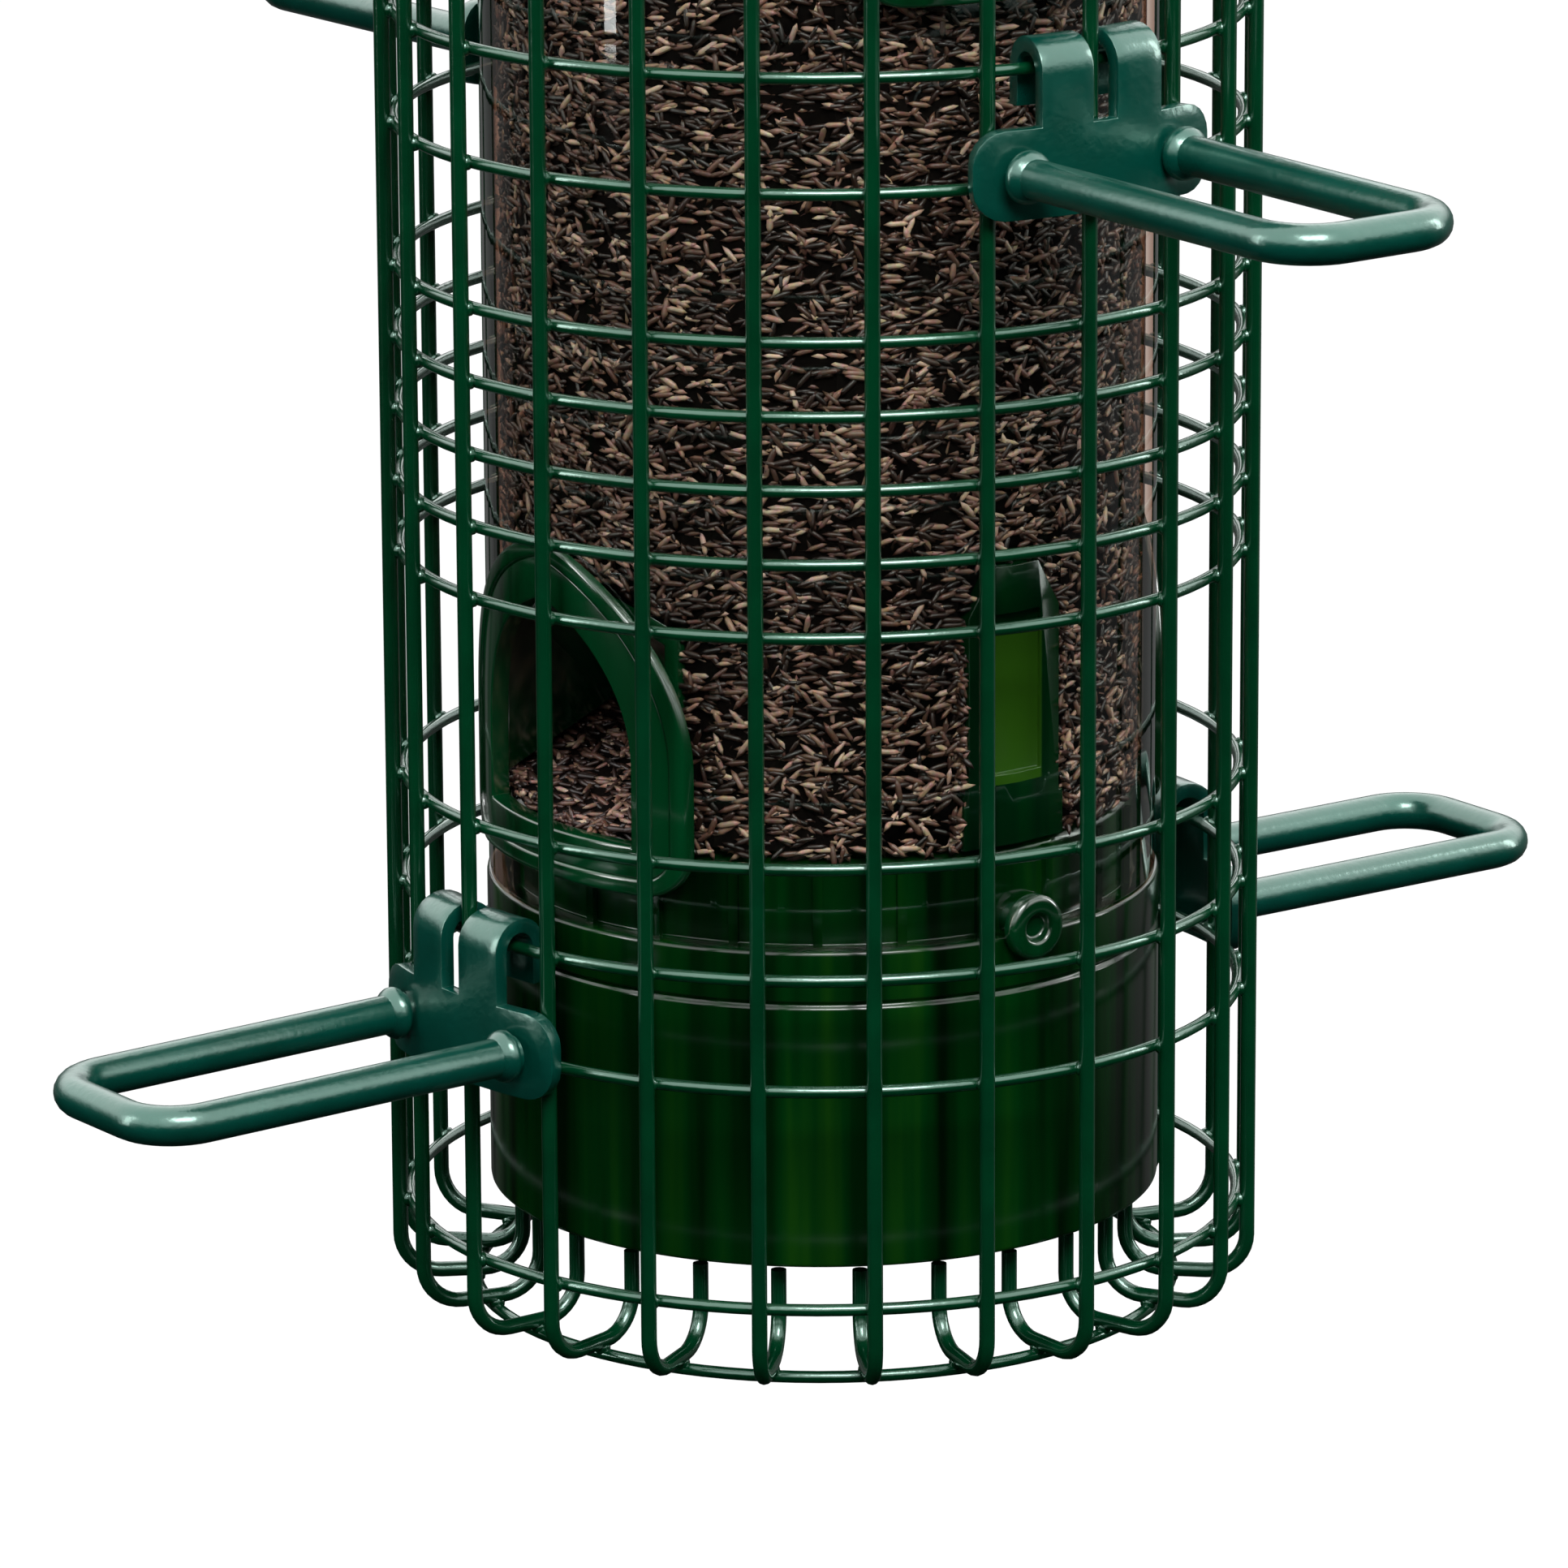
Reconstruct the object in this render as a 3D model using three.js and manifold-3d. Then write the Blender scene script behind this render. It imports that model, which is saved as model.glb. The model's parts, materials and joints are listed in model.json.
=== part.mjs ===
// A squirrel proof tube feeder for birds. A clear seed tube hangs on a steel rod. A wire cage
// hangs round it on a spring, and a squirrel's weight pulls the cage down over the ports.
//
// Millimetres, +Z up. The origin is on the axis, level with the underside of the cage.
// The lower ports and perches face -X and +X, the upper ones -Y and +Y.

import * as THREE from 'three';
import { mergeVertices } from 'three/addons/utils/BufferGeometryUtils.js';
import Module from 'manifold-3d';

const wasm = await Module();
wasm.setup();

// Clearances
const seat = 0.3; // between pieces that rest on each other
const running = 0.5; // round what slides
const overrun = 1; // how far a cutter reaches past the wall that it cuts

// Facets
const roundSegments = 32;
const smallSegments = 12;
const archSteps = 3;
const bendSteps = 3;
const footSteps = 2;
const rodSides = 8;
const hexSides = 6;

// Cage: upright wires outside, rings welded inside them
const wireCount = 24;
const wireDiameter = 2.3;
const wireSides = 4;
const ringDiameter = 1.8;
const weldDepth = 0.07;
const weldReach = 0.8;
const panelCount = 8;
const cageGap = 15.5; // between the outsides of the tube and the cage
const hookRingDrop = 0.9; // below the base's ledge
const levelPitch = 130.9;
const rungPitch = 16.5;
const feedingGap = 33.9;
const guardPitch = 10.7;
const guardCount = 5;
const lowRingHeight = 14.2;
const footBendRadius = 6;
const innerLegInset = 4;
const innerLegTop = 15;
const wireTopReach = 2.2;
const cageDrop = 33;

// Seed tube
const tubeRadius = 49.5;
const tubeWall = 1.8;
const tubeRimLift = 12; // above the underside of the yoke

// Base
const baseStep = 0.5; // how far the base stands out past the tube
const baseWall = 2.2;
const baseBottom = 16.7;
const baseLedgeHeight = 64.4;
const baseGrooveDrop = 8;
const baseGrooveDepth = 0.6;
const spigotGap = 1.3;
const spigotHeight = 12.6;
const spigotWall = 2.2;
const spigotBevel = 1;
const spigotRibCount = 24;
const spigotRibWidth = 1.4;
const spigotRibProud = 0.9;
const floorRise = 7;
const floorWall = 2.4;
const baseWebThickness = 2;
const baseWebDrop = 20.4;
const baseWebCount = 4;

// Studs that hold the tube on the base
const studRadius = 4.8;
const studLift = 1.3;
const studHeadThickness = 2.2;
const studDimpleRadius = 1.9;
const studDimpleDepth = 1.4;
const studShankRadius = 2.6;
const studShankReach = 5.5;

// Ports
const portHalfWidth = 26.2;
const portLift = 6.6; // from the base's ledge to the foot of the frame
const portSpringLift = 19;
const portArcOffset = 5.5;
const portBorder = 8.7;
const portCorner = 7;
const portFlange = 0.9;
const portRimBead = 0.4;
const portRimWidth = 2.5;
const sillLift = 7.2;
const sleeveWall = 2;

// Hoods inside the ports
const hoodWall = 1.8;
const hoodDepth = 25.5;
const hoodNoseLift = 11; // from the sill
const hoodNoseThickness = 3;

// Divider between the two lower ports
const dividerThickness = 3;
const dividerHeight = 35; // from the top of the spigot
const pillarWidth = 16.4;
const pillarDepth = 8;
const pillarHeight = 43;
const pillarPanelWidth = 9;
const pillarPanelDepth = 1.2;
const pillarPanelMargin = 4;
const pillarFootWidth = 18;
const pillarFootHeight = 7;

// Seed
const seedDrop = 5.5; // below the bridge

// Bridge, rod and spring
const strapThickness = 2;
const bridgeWidth = 14;
const bridgeTabHeight = 14;
const bridgeScrewLift = 7;
const screwRadius = 1.9;
const screwHeadRadius = 4;
const screwHeadThickness = 2.4;
const screwLength = 12;
const screwNutWidth = 7;
const screwNutThickness = 3;
const rodRadius = 2.5;
const rodNutWidth = 8;
const rodNutThickness = 4;
const rodTip = 1;
const overallHeight = 546;
const eyeRadius = 17;
const eyeNeck = 12;
const eyeOpening = 25;
const eyeSteps = 10;
const washerRadius = 11.5;
const washerThickness = 1.2;
const springLength = 48.4;
const springRadius = 9;
const springWire = 1.6;
const springCurls = 8;
const springStepsPerCurl = 8;
const springSides = 5;

// Yoke that carries the cage on the spring
const yokeWidth = 12;
const yokeHookReach = 1.8;
const yokeHookReturn = 3;
const bushWall = 1.5;
const bushFlange = 1.5;
const bushFlangeReach = 2.5;
const collarRadius = 7;
const collarHeight = 5;
const slotMargin = 1.5;

// Lid
const lidOverhang = 4; // past the cage
const lidWall = 2.2;
const lidSkirtDrop = 19; // below the tube's rim
const lidShoulderDrop = 7;
const domeRise = 36;
const domeSteps = 4;
const lidLipReach = 6;
const lidShelfInset = 4;
const lidHubRadius = 11;
const grommetWall = 3;
const grommetFlangeReach = 3.5;
const grommetFlange = 2.4;
const grommetReach = 5;

// Perches
const plateThickness = 2.2;
const plateHalfWidth = 21;
const plateTopDrop = 7.5;
const plateBottomDrop = 20.4;
const plateCorner = 5;
const hookWidth = 8.4;
const hookSlot = 3.4;
const hookTipDrop = 5.7;
const hookSteps = 4;
const barDiameter = 5.8;
const barHalfSpan = 14;
const barReach = 62; // past the cage
const barCorner = 8;
const barDroop = 0.5;
const barCollarRadius = 3.9;
const barCollarLength = 2.4;

// Radii that follow from the tube
const tubeInner = tubeRadius - tubeWall;
const spigotRadius = tubeInner - spigotGap;
const baseRadius = tubeRadius + baseStep;
const hoodNoseRadius = tubeRadius - hoodDepth;
const innerLegRadius = tubeRadius - innerLegInset;
const cageRadius = tubeRadius + cageGap;
const lidRadius = cageRadius + lidOverhang;

// Heights that follow from the ledge that the tube stands on
const hookRingHeight = baseLedgeHeight - hookRingDrop;
const baseGrooveHeight = baseLedgeHeight - baseGrooveDrop;
const baseWebBottom = baseLedgeHeight - baseWebDrop;
const spigotTop = baseLedgeHeight + spigotHeight;
const studHeight = baseLedgeHeight + studLift;
const portBottom = baseLedgeHeight + portLift;
const portSpringHeight = portBottom + portSpringLift;
const sillTop = portBottom + sillLift;
const hoodNoseHeight = sillTop + hoodNoseLift;
const dividerTop = spigotTop + dividerHeight;
const pillarTop = spigotTop + pillarHeight;
const pillarFootTop = spigotTop + pillarFootHeight;

// Heights that follow from the cage's top ring, which the yoke carries on the spring
const topRingHeight = hookRingHeight + 2 * levelPitch - rungPitch;
const yokeUnderside = topRingHeight + ringDiameter / 2 + seat;
const springTop = yokeUnderside - seat - washerThickness - seat;
const springBottom = springTop - springLength;
const bridgeTop = springBottom - seat - washerThickness - seat;
const bridgeUnderside = bridgeTop - strapThickness;
const seedTop = bridgeUnderside - seedDrop;
const tubeRimHeight = yokeUnderside + tubeRimLift;
const lidSkirt = tubeRimHeight - lidSkirtDrop;
const lidShoulder = tubeRimHeight - lidShoulderDrop;

// Colours
const paint = 0x0b4a33;
const perchPaint = 0x0d4f42;
const mouldedGreen = 0x14431c;
const clearPlastic = 0xdfe8e4;
const steel = 0x9fa3a6;
const darkRubber = 0x1c211e;
const seedBrown = 0x8d7564;

const degree = Math.PI / 180;

const lowestLevel = 0;
const upperLevel = 1;
const ports = [
  { place: 'lower_left', level: lowestLevel, turn: Math.PI },
  { place: 'lower_right', level: lowestLevel, turn: 0 },
  { place: 'upper_front', level: upperLevel, turn: -Math.PI / 2 },
  { place: 'upper_back', level: upperLevel, turn: Math.PI / 2 },
];

// A route through chosen points, with a step at each
class Route extends THREE.Curve {
  constructor(points) {
    super();
    this.points = points;
  }

  indexAt(u) {
    return Math.round(u * (this.points.length - 1));
  }

  getPointAt(u) {
    return this.points[this.indexAt(u)].clone();
  }

  getTangentAt(u) {
    const index = this.indexAt(u);
    const before = this.points[Math.max(index - 1, 0)];
    const after = this.points[Math.min(index + 1, this.points.length - 1)];
    return after.clone().sub(before).normalize();
  }
}

// A closed geometry, with its shared corners merged, as a solid that can be joined and cut
function solidOf(geometry) {
  const bare = geometry.clone();
  bare.deleteAttribute('normal');
  bare.deleteAttribute('uv');
  const merged = mergeVertices(bare);
  return new wasm.Manifold(new wasm.Mesh({
    numProp: 3,
    vertProperties: new Float32Array(merged.attributes.position.array),
    triVerts: new Uint32Array(merged.index.array),
  }));
}

function geometryOf(solid) {
  const data = solid.getMesh();
  const geometry = new THREE.BufferGeometry();
  geometry.setAttribute('position', new THREE.BufferAttribute(data.vertProperties, 3));
  geometry.setIndex(new THREE.BufferAttribute(data.triVerts, 1));
  geometry.computeVertexNormals();
  return geometry;
}

function join(...solids) {
  return solids.reduce((whole, next) => whole.add(next));
}

function cut(solid, ...cutters) {
  return cutters.reduce((rest, next) => rest.subtract(next), solid);
}

function signedArea(outline) {
  let sum = 0;
  outline.forEach(([x, y], index) => {
    const [nextX, nextY] = outline[(index + 1) % outline.length];
    sum += x * nextY - nextX * y;
  });
  return sum / 2;
}

// Turns an outline of [radius, height] corners about the Z axis
function revolve(outline, segments = roundSegments) {
  const corners = signedArea(outline) < 0 ? [...outline].reverse() : [...outline];
  const axisCorner = corners.findIndex(([radius], index) => {
    const [nextRadius] = corners[(index + 1) % corners.length];
    return radius === 0 && nextRadius === 0;
  });
  const touchesAxis = axisCorner >= 0;
  const ordered = touchesAxis
    ? [...corners.slice(axisCorner + 1), ...corners.slice(0, axisCorner + 1)]
    : [...corners, corners[0]];
  const points = ordered.map(([radius, height]) => new THREE.Vector2(radius, height));
  return new THREE.LatheGeometry(points, segments).rotateX(Math.PI / 2);
}

function shapeOf(outline) {
  return new THREE.Shape(outline.map(([x, y]) => new THREE.Vector2(x, y)));
}

// A straight prism from an outline seen along the radius: [across, height] corners, facing +X
function facingPrism(outline, innerRadius, outerRadius) {
  const geometry = new THREE.ExtrudeGeometry(shapeOf(outline), {
    depth: outerRadius - innerRadius,
    bevelEnabled: false,
  });
  geometry.translate(0, 0, innerRadius);
  const across = new THREE.Vector3(0, 1, 0);
  const up = new THREE.Vector3(0, 0, 1);
  const out = new THREE.Vector3(1, 0, 0);
  return geometry.applyMatrix4(new THREE.Matrix4().makeBasis(across, up, out));
}

// A straight prism from a side view: [radius, height] corners, centred on the XZ plane
function sidePrism(outline, width) {
  const geometry = new THREE.ExtrudeGeometry(shapeOf(outline), { depth: width, bevelEnabled: false });
  geometry.translate(0, 0, -width / 2);
  const out = new THREE.Vector3(1, 0, 0);
  const up = new THREE.Vector3(0, 0, 1);
  const across = new THREE.Vector3(0, -1, 0);
  return geometry.applyMatrix4(new THREE.Matrix4().makeBasis(out, up, across));
}

function polygon(sides, radius, start = 0) {
  return Array.from({ length: sides }, (_, index) => {
    const angle = start + (2 * Math.PI * index) / sides;
    return [radius * Math.cos(angle), radius * Math.sin(angle)];
  });
}

function tubeAlong(points, sides, radius, start = 0) {
  return new THREE.ExtrudeGeometry(shapeOf(polygon(sides, radius, start)), {
    extrudePath: new Route(points),
    steps: points.length - 1,
    bevelEnabled: false,
  });
}

// Corners of an arc about a centre, in a plane of [x, y] pairs
function arc(centreX, centreY, radius, from, to, steps) {
  return Array.from({ length: steps + 1 }, (_, index) => {
    const angle = from + ((to - from) * index) / steps;
    return [centreX + radius * Math.cos(angle), centreY + radius * Math.sin(angle)];
  });
}

function pipe(innerRadius, outerRadius, bottom, top, segments = roundSegments) {
  return revolve([
    [innerRadius, bottom],
    [outerRadius, bottom],
    [outerRadius, top],
    [innerRadius, top],
  ], segments);
}

function disc(radius, bottom, top, segments = roundSegments) {
  return revolve([[0, bottom], [radius, bottom], [radius, top], [0, top]], segments);
}

// A round pin along +X, at a height
function crossPin(radius, from, to, height, segments = smallSegments) {
  const outline = polygon(segments, radius).map(([across, up]) => [across, up + height]);
  return facingPrism(outline, from, to);
}

function placed(geometry, turn, level = lowestLevel) {
  return geometry.clone().rotateZ(turn).translate(0, 0, level * levelPitch);
}

// A hexagon's width across its corners, for one across its flats
const cornersForFlats = 1 / Math.cos(Math.PI / hexSides);

function nut(widthAcrossFlats, boreRadius, thickness) {
  const shape = shapeOf(polygon(hexSides, (widthAcrossFlats * cornersForFlats) / 2));
  const bore = polygon(smallSegments, boreRadius).map(([x, y]) => new THREE.Vector2(x, y));
  shape.holes.push(new THREE.Path(bore));
  return new THREE.ExtrudeGeometry(shape, { depth: thickness, bevelEnabled: false });
}

// Cage

// The wires are modelled with flat sides and the round wire's area
const wireStep = (2 * Math.PI) / wireSides;
const wireCorner = (wireDiameter / 2) * Math.sqrt(wireStep / Math.sin(wireStep));
const wireFlat = wireCorner * Math.cos(wireStep / 2);
const wireAxisRadius = cageRadius - wireDiameter / 2;
const wireTurn = (2 * Math.PI) / wireCount;
const wiresPerPanel = wireCount / panelCount;
const ringAxisRadius = wireAxisRadius - wireFlat - ringDiameter / 2 + weldDepth;
const footHeight = ringDiameter + wireFlat - weldDepth;
const footRingRadius = innerLegRadius + footBendRadius + ringDiameter / 2;

function ringHeights() {
  const heights = [lowRingHeight];
  for (const level of [lowestLevel, upperLevel]) {
    const hook = hookRingHeight + level * levelPitch;
    heights.push(hook - rungPitch, hook, hook + rungPitch);
    for (let index = 0; index < guardCount; index += 1) {
      heights.push(hook + rungPitch + feedingGap + index * guardPitch);
    }
  }
  heights.push(topRingHeight);
  return heights;
}

// One panel's share of a ring. It starts just past its first wire, follows a straight line from
// wire to wire, and ends just short of the next panel.
function ringArc(radius, height) {
  const half = ringDiameter / 2;
  const edge = (reach) => {
    const corners = Array.from({ length: wiresPerPanel + 1 }, (_, index) => (
      new THREE.Vector2(reach, 0).rotateAround(new THREE.Vector2(), index * wireTurn)
    ));
    const span = corners[0].distanceTo(corners[1]);
    const first = corners[1].clone().lerp(corners[0], 1 + weldReach / span);
    const last = corners.at(-2).clone().lerp(corners.at(-1), 1 - (weldReach + seat) / span);
    return [first, ...corners.slice(1, -1), last];
  };
  const shape = new THREE.Shape([...edge(radius + half), ...edge(radius - half).reverse()]);
  const geometry = new THREE.ExtrudeGeometry(shape, { depth: ringDiameter, bevelEnabled: false });
  return geometry.translate(0, 0, height - half);
}

// An upright wire turns in under the cage and ends in a short leg under the base
function uprightWire() {
  const outerCentre = wireAxisRadius - footBendRadius;
  const innerCentre = innerLegRadius + footBendRadius;
  const bendHeight = footHeight + footBendRadius;
  const corners = [
    [wireAxisRadius, topRingHeight + wireTopReach],
    ...arc(outerCentre, bendHeight, footBendRadius, 0, -Math.PI / 2, footSteps),
    ...arc(innerCentre, bendHeight, footBendRadius, -Math.PI / 2, -Math.PI, footSteps),
    [innerLegRadius, innerLegTop],
  ];
  const points = corners.map(([radius, height]) => new THREE.Vector3(radius, 0, height));
  return tubeAlong(points, wireSides, wireCorner, wireStep / 2);
}

// The cage is one welded piece, given here as panels so that each is a simple shape
function cagePanel() {
  const wire = uprightWire();
  const turns = Array.from({ length: wiresPerPanel }, (_, index) => index * wireTurn);
  const wires = turns.map((turn) => solidOf(placed(wire, turn)));
  const rings = ringHeights().map((height) => solidOf(ringArc(ringAxisRadius, height)));
  const footRing = solidOf(ringArc(footRingRadius, ringDiameter / 2));
  return geometryOf(wasm.Manifold.union([...wires, ...rings, footRing]));
}

// Ports

const openingHalfWidth = portHalfWidth - portBorder;
const sleeveHalfWidth = openingHalfWidth + sleeveWall;

// A blunt arch whose two arcs share their centres whatever its width
function archOutline(halfWidth, bottom, corner = 0) {
  const radius = halfWidth + portArcOffset;
  const apex = Math.acos(portArcOffset / radius);
  const foot = corner > 0
    ? arc(halfWidth - corner, bottom + corner, corner, -Math.PI / 2, 0, archSteps)
    : [[halfWidth, bottom]];
  const right = [...foot, ...arc(-portArcOffset, portSpringHeight, radius, 0, apex, archSteps)];
  const left = right.slice(0, -1).reverse().map(([across, height]) => [-across, height]);
  return [...right, ...left];
}

function archTop(halfWidth) {
  const radius = halfWidth + portArcOffset;
  return portSpringHeight + Math.sqrt(radius ** 2 - portArcOffset ** 2);
}

function curvedPlate(outline, innerRadius, outerRadius) {
  const block = solidOf(facingPrism(outline, 0, outerRadius + overrun));
  const heights = outline.map(([, height]) => height);
  const low = Math.min(...heights) - overrun;
  const high = Math.max(...heights) + overrun;
  const shell = pipe(innerRadius, outerRadius, low, high);
  return block.intersect(solidOf(shell));
}

// A thin plate with a raised rim round its edge, and a sleeve that lines the tube's hole
function portFrame() {
  const flangeInner = tubeRadius + seat;
  const flangeOuter = flangeInner + portFlange;
  const plate = curvedPlate(
    archOutline(portHalfWidth, portBottom, portCorner),
    flangeInner,
    flangeOuter + portRimBead,
  );
  const dish = curvedPlate(
    archOutline(portHalfWidth - portRimWidth, portBottom + portRimWidth, portCorner - portRimWidth),
    flangeOuter,
    flangeOuter + portRimBead + overrun,
  );
  const sleeve = curvedPlate(
    archOutline(sleeveHalfWidth, sillTop - sleeveWall),
    tubeInner,
    flangeOuter,
  );
  const opening = solidOf(facingPrism(archOutline(openingHalfWidth, sillTop), 0, cageRadius));
  return geometryOf(cut(join(plate, sleeve), dish, opening));
}

// The hole that the tube has for a port's sleeve
function portHole() {
  const outline = archOutline(sleeveHalfWidth + seat, sillTop - sleeveWall - seat);
  return facingPrism(outline, hoodNoseRadius, tubeRadius + overrun);
}

const hoodHalfWidth = sleeveHalfWidth + seat + hoodWall;
const hoodTop = archTop(sleeveHalfWidth) + seat + hoodNoseThickness;

// The hood's outer side view, grown all round by a clearance
function hoodOutline(grow) {
  return [
    [tubeRadius, sillTop - grow],
    [tubeRadius, hoodTop + grow],
    [hoodNoseRadius - grow, hoodNoseHeight + hoodNoseThickness + grow],
    [hoodNoseRadius - grow, hoodNoseHeight - grow],
  ];
}

// The hood is a sloping roof on two cheeks, which keeps a hollow in the seed behind the port
function portHood() {
  const wallRadius = tubeInner - seat;
  const body = solidOf(sidePrism(hoodOutline(0), 2 * hoodHalfWidth));
  const slope = (hoodTop - hoodNoseHeight - hoodNoseThickness) / (tubeRadius - hoodNoseRadius);
  const underRoof = (radius) => hoodNoseHeight + slope * (radius - hoodNoseRadius);
  const innerReach = hoodNoseRadius - overrun;
  const outerReach = tubeRadius + overrun;
  const hollow = solidOf(sidePrism([
    [outerReach, sillTop - overrun],
    [outerReach, underRoof(outerReach)],
    [innerReach, underRoof(innerReach)],
    [innerReach, sillTop - overrun],
  ], 2 * (hoodHalfWidth - hoodWall)));
  const bore = solidOf(disc(wallRadius, sillTop - overrun, hoodTop + overrun));
  return geometryOf(cut(body, hollow).intersect(bore));
}

// Base and divider

const floorEdgeRadius = spigotRadius - spigotBevel;

function baseCup() {
  const skirtInner = baseRadius - baseWall;
  const spigotInner = spigotRadius - spigotWall;
  const body = solidOf(revolve([
    [skirtInner, baseBottom],
    [baseRadius, baseBottom],
    [baseRadius, baseGrooveHeight - baseGrooveDepth],
    [baseRadius - baseGrooveDepth, baseGrooveHeight],
    [baseRadius, baseGrooveHeight + baseGrooveDepth],
    [baseRadius, baseLedgeHeight],
    [spigotRadius, baseLedgeHeight],
    [spigotRadius, spigotTop - spigotBevel],
    [floorEdgeRadius, spigotTop],
    [0, spigotTop + floorRise],
    [0, spigotTop + floorRise - floorWall],
    [spigotInner, spigotTop - floorWall],
    [spigotInner, baseLedgeHeight - baseWall],
    [skirtInner, baseLedgeHeight - 2 * baseWall],
  ]));
  const webOutline = [
    [0, baseWebBottom],
    [skirtInner + weldDepth, baseWebBottom],
    [skirtInner + weldDepth, baseLedgeHeight - 2 * baseWall],
    [spigotInner + weldDepth, baseLedgeHeight - baseWall],
    [spigotInner + weldDepth, spigotTop - floorWall],
    [0, spigotTop + floorRise - floorWall + weldDepth],
  ];
  const web = sidePrism(webOutline, baseWebThickness);
  const ribInner = spigotRadius - spigotRibProud;
  const rib = facingPrism([
    [-spigotRibWidth / 2, baseLedgeHeight],
    [spigotRibWidth / 2, baseLedgeHeight],
    [spigotRibWidth / 2, spigotTop - spigotBevel],
    [-spigotRibWidth / 2, spigotTop - spigotBevel],
  ], ribInner, spigotRadius + spigotRibProud);
  const webTurn = (2 * Math.PI) / baseWebCount;
  const webs = Array.from({ length: baseWebCount }, (_, index) => solidOf(placed(web, index * webTurn)));
  const ribs = Array.from({ length: spigotRibCount }, (_, index) => (
    solidOf(placed(rib, (2 * Math.PI * (index + 1 / 2)) / spigotRibCount))
  ));
  const studHoles = [Math.PI / 2, -Math.PI / 2].map((turn) => solidOf(placed(studHole(), turn)));
  return geometryOf(cut(join(body, ...webs, ...ribs), ...studHoles));
}

function studHole() {
  return crossPin(studShankRadius + seat, spigotRadius - studShankReach, baseRadius + overrun, studHeight);
}

// A stud: a dished round head outside the tube on a shank through the tube's edge and the base
function baseStud() {
  const headInner = baseRadius + seat;
  const headOuter = headInner + studHeadThickness;
  const rounding = studHeadThickness / 2;
  const geometry = revolve([
    [0, spigotRadius - spigotWall],
    [studShankRadius, spigotRadius - spigotWall],
    [studShankRadius, headInner],
    [studRadius, headInner],
    [studRadius, headOuter - rounding],
    [studRadius - rounding, headOuter],
    [studDimpleRadius, headOuter],
    [studDimpleRadius, headOuter - studDimpleDepth],
    [0, headOuter - studDimpleDepth],
  ], smallSegments);
  return geometry.rotateY(Math.PI / 2).translate(0, 0, studHeight);
}

// The cone that the floor makes, as a cutter with its point up
function floorCone(lift) {
  const low = baseBottom;
  const edge = spigotTop + lift;
  return solidOf(revolve([
    [0, low],
    [tubeRadius, low],
    [tubeRadius, edge],
    [floorEdgeRadius, edge],
    [0, edge + floorRise],
  ]));
}

// The wall across the tube, with a pillar at each end, grown all round by a clearance
function dividerBlock(grow) {
  const halfWeb = dividerThickness / 2 + grow;
  const web = facingPrism([
    [-halfWeb, spigotTop],
    [halfWeb, spigotTop],
    [halfWeb, dividerTop],
    [0, dividerTop + halfWeb],
    [-halfWeb, dividerTop],
  ], -tubeInner, tubeInner);
  const cap = pillarWidth / 2 + grow;
  const pillarOutline = [
    [-cap, spigotTop],
    [cap, spigotTop],
    ...arc(0, pillarTop - pillarWidth / 2, cap, 0, Math.PI, archSteps),
  ];
  const footHalf = pillarFootWidth / 2 + grow;
  const footOutline = [
    [-footHalf, spigotTop],
    [footHalf, spigotTop],
    [footHalf, pillarFootTop + grow],
    [-footHalf, pillarFootTop + grow],
  ];
  const pillarInner = tubeInner - seat - pillarDepth - grow;
  const sides = [Math.PI / 2, -Math.PI / 2];
  const pillar = facingPrism(pillarOutline, pillarInner, tubeRadius);
  const foot = facingPrism(footOutline, pillarInner, tubeRadius);
  const pillars = sides.map((turn) => solidOf(placed(pillar, turn)));
  const feet = sides.map((turn) => solidOf(placed(foot, turn)));
  return join(solidOf(placed(web, Math.PI / 2)), ...pillars, ...feet);
}

function seedDivider() {
  const wallRadius = tubeInner - seat;
  const panelHalf = pillarPanelWidth / 2;
  const panel = facingPrism([
    [-panelHalf, pillarFootTop + pillarPanelMargin],
    [panelHalf, pillarFootTop + pillarPanelMargin],
    [panelHalf, pillarTop - pillarWidth / 2],
    [-panelHalf, pillarTop - pillarWidth / 2],
  ], wallRadius - pillarPanelDepth, tubeRadius);
  const panels = [Math.PI / 2, -Math.PI / 2].map((turn) => solidOf(placed(panel, turn)));
  const bore = solidOf(disc(wallRadius, spigotTop, pillarTop + overrun));
  return geometryOf(cut(dividerBlock(0).intersect(bore), floorCone(seat), ...panels));
}

// Tube and seed

function seedTube() {
  const body = solidOf(pipe(tubeInner, tubeRadius, baseLedgeHeight + seat, tubeRimHeight));
  const holes = ports.map(({ level, turn }) => solidOf(placed(portHole(), turn, level)));
  const studNotches = [Math.PI / 2, -Math.PI / 2].map((turn) => solidOf(placed(studHole(), turn)));
  const slot = facingPrism([
    [-yokeWidth / 2 - running, yokeUnderside - cageDrop - slotMargin],
    [yokeWidth / 2 + running, yokeUnderside - cageDrop - slotMargin],
    [yokeWidth / 2 + running, yokeUnderside + strapThickness + slotMargin],
    [-yokeWidth / 2 - running, yokeUnderside + strapThickness + slotMargin],
  ], tubeInner - overrun, tubeRadius + overrun);
  const slots = [yokeTurn, yokeTurn + Math.PI].map((turn) => solidOf(placed(slot, turn)));
  const screwHole = crossPin(screwRadius + seat, tubeInner - overrun, tubeRadius + overrun, bridgeScrewHeight);
  const screwHoles = [0, Math.PI].map((turn) => solidOf(placed(screwHole, turn)));
  return geometryOf(cut(body, ...holes, ...studNotches, ...slots, ...screwHoles));
}

// The seed fills the tube up to the bridge, and slopes down to each port under its hood
function seedFill() {
  const body = solidOf(disc(tubeInner - seat, spigotTop, seedTop));
  const caves = ports.map(({ level, turn }) => {
    const cave = sidePrism(hoodOutline(seat), 2 * (hoodHalfWidth + seat));
    return solidOf(placed(cave, turn, level));
  });
  return geometryOf(cut(body, floorCone(2 * seat), dividerBlock(seat), ...caves));
}

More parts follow.
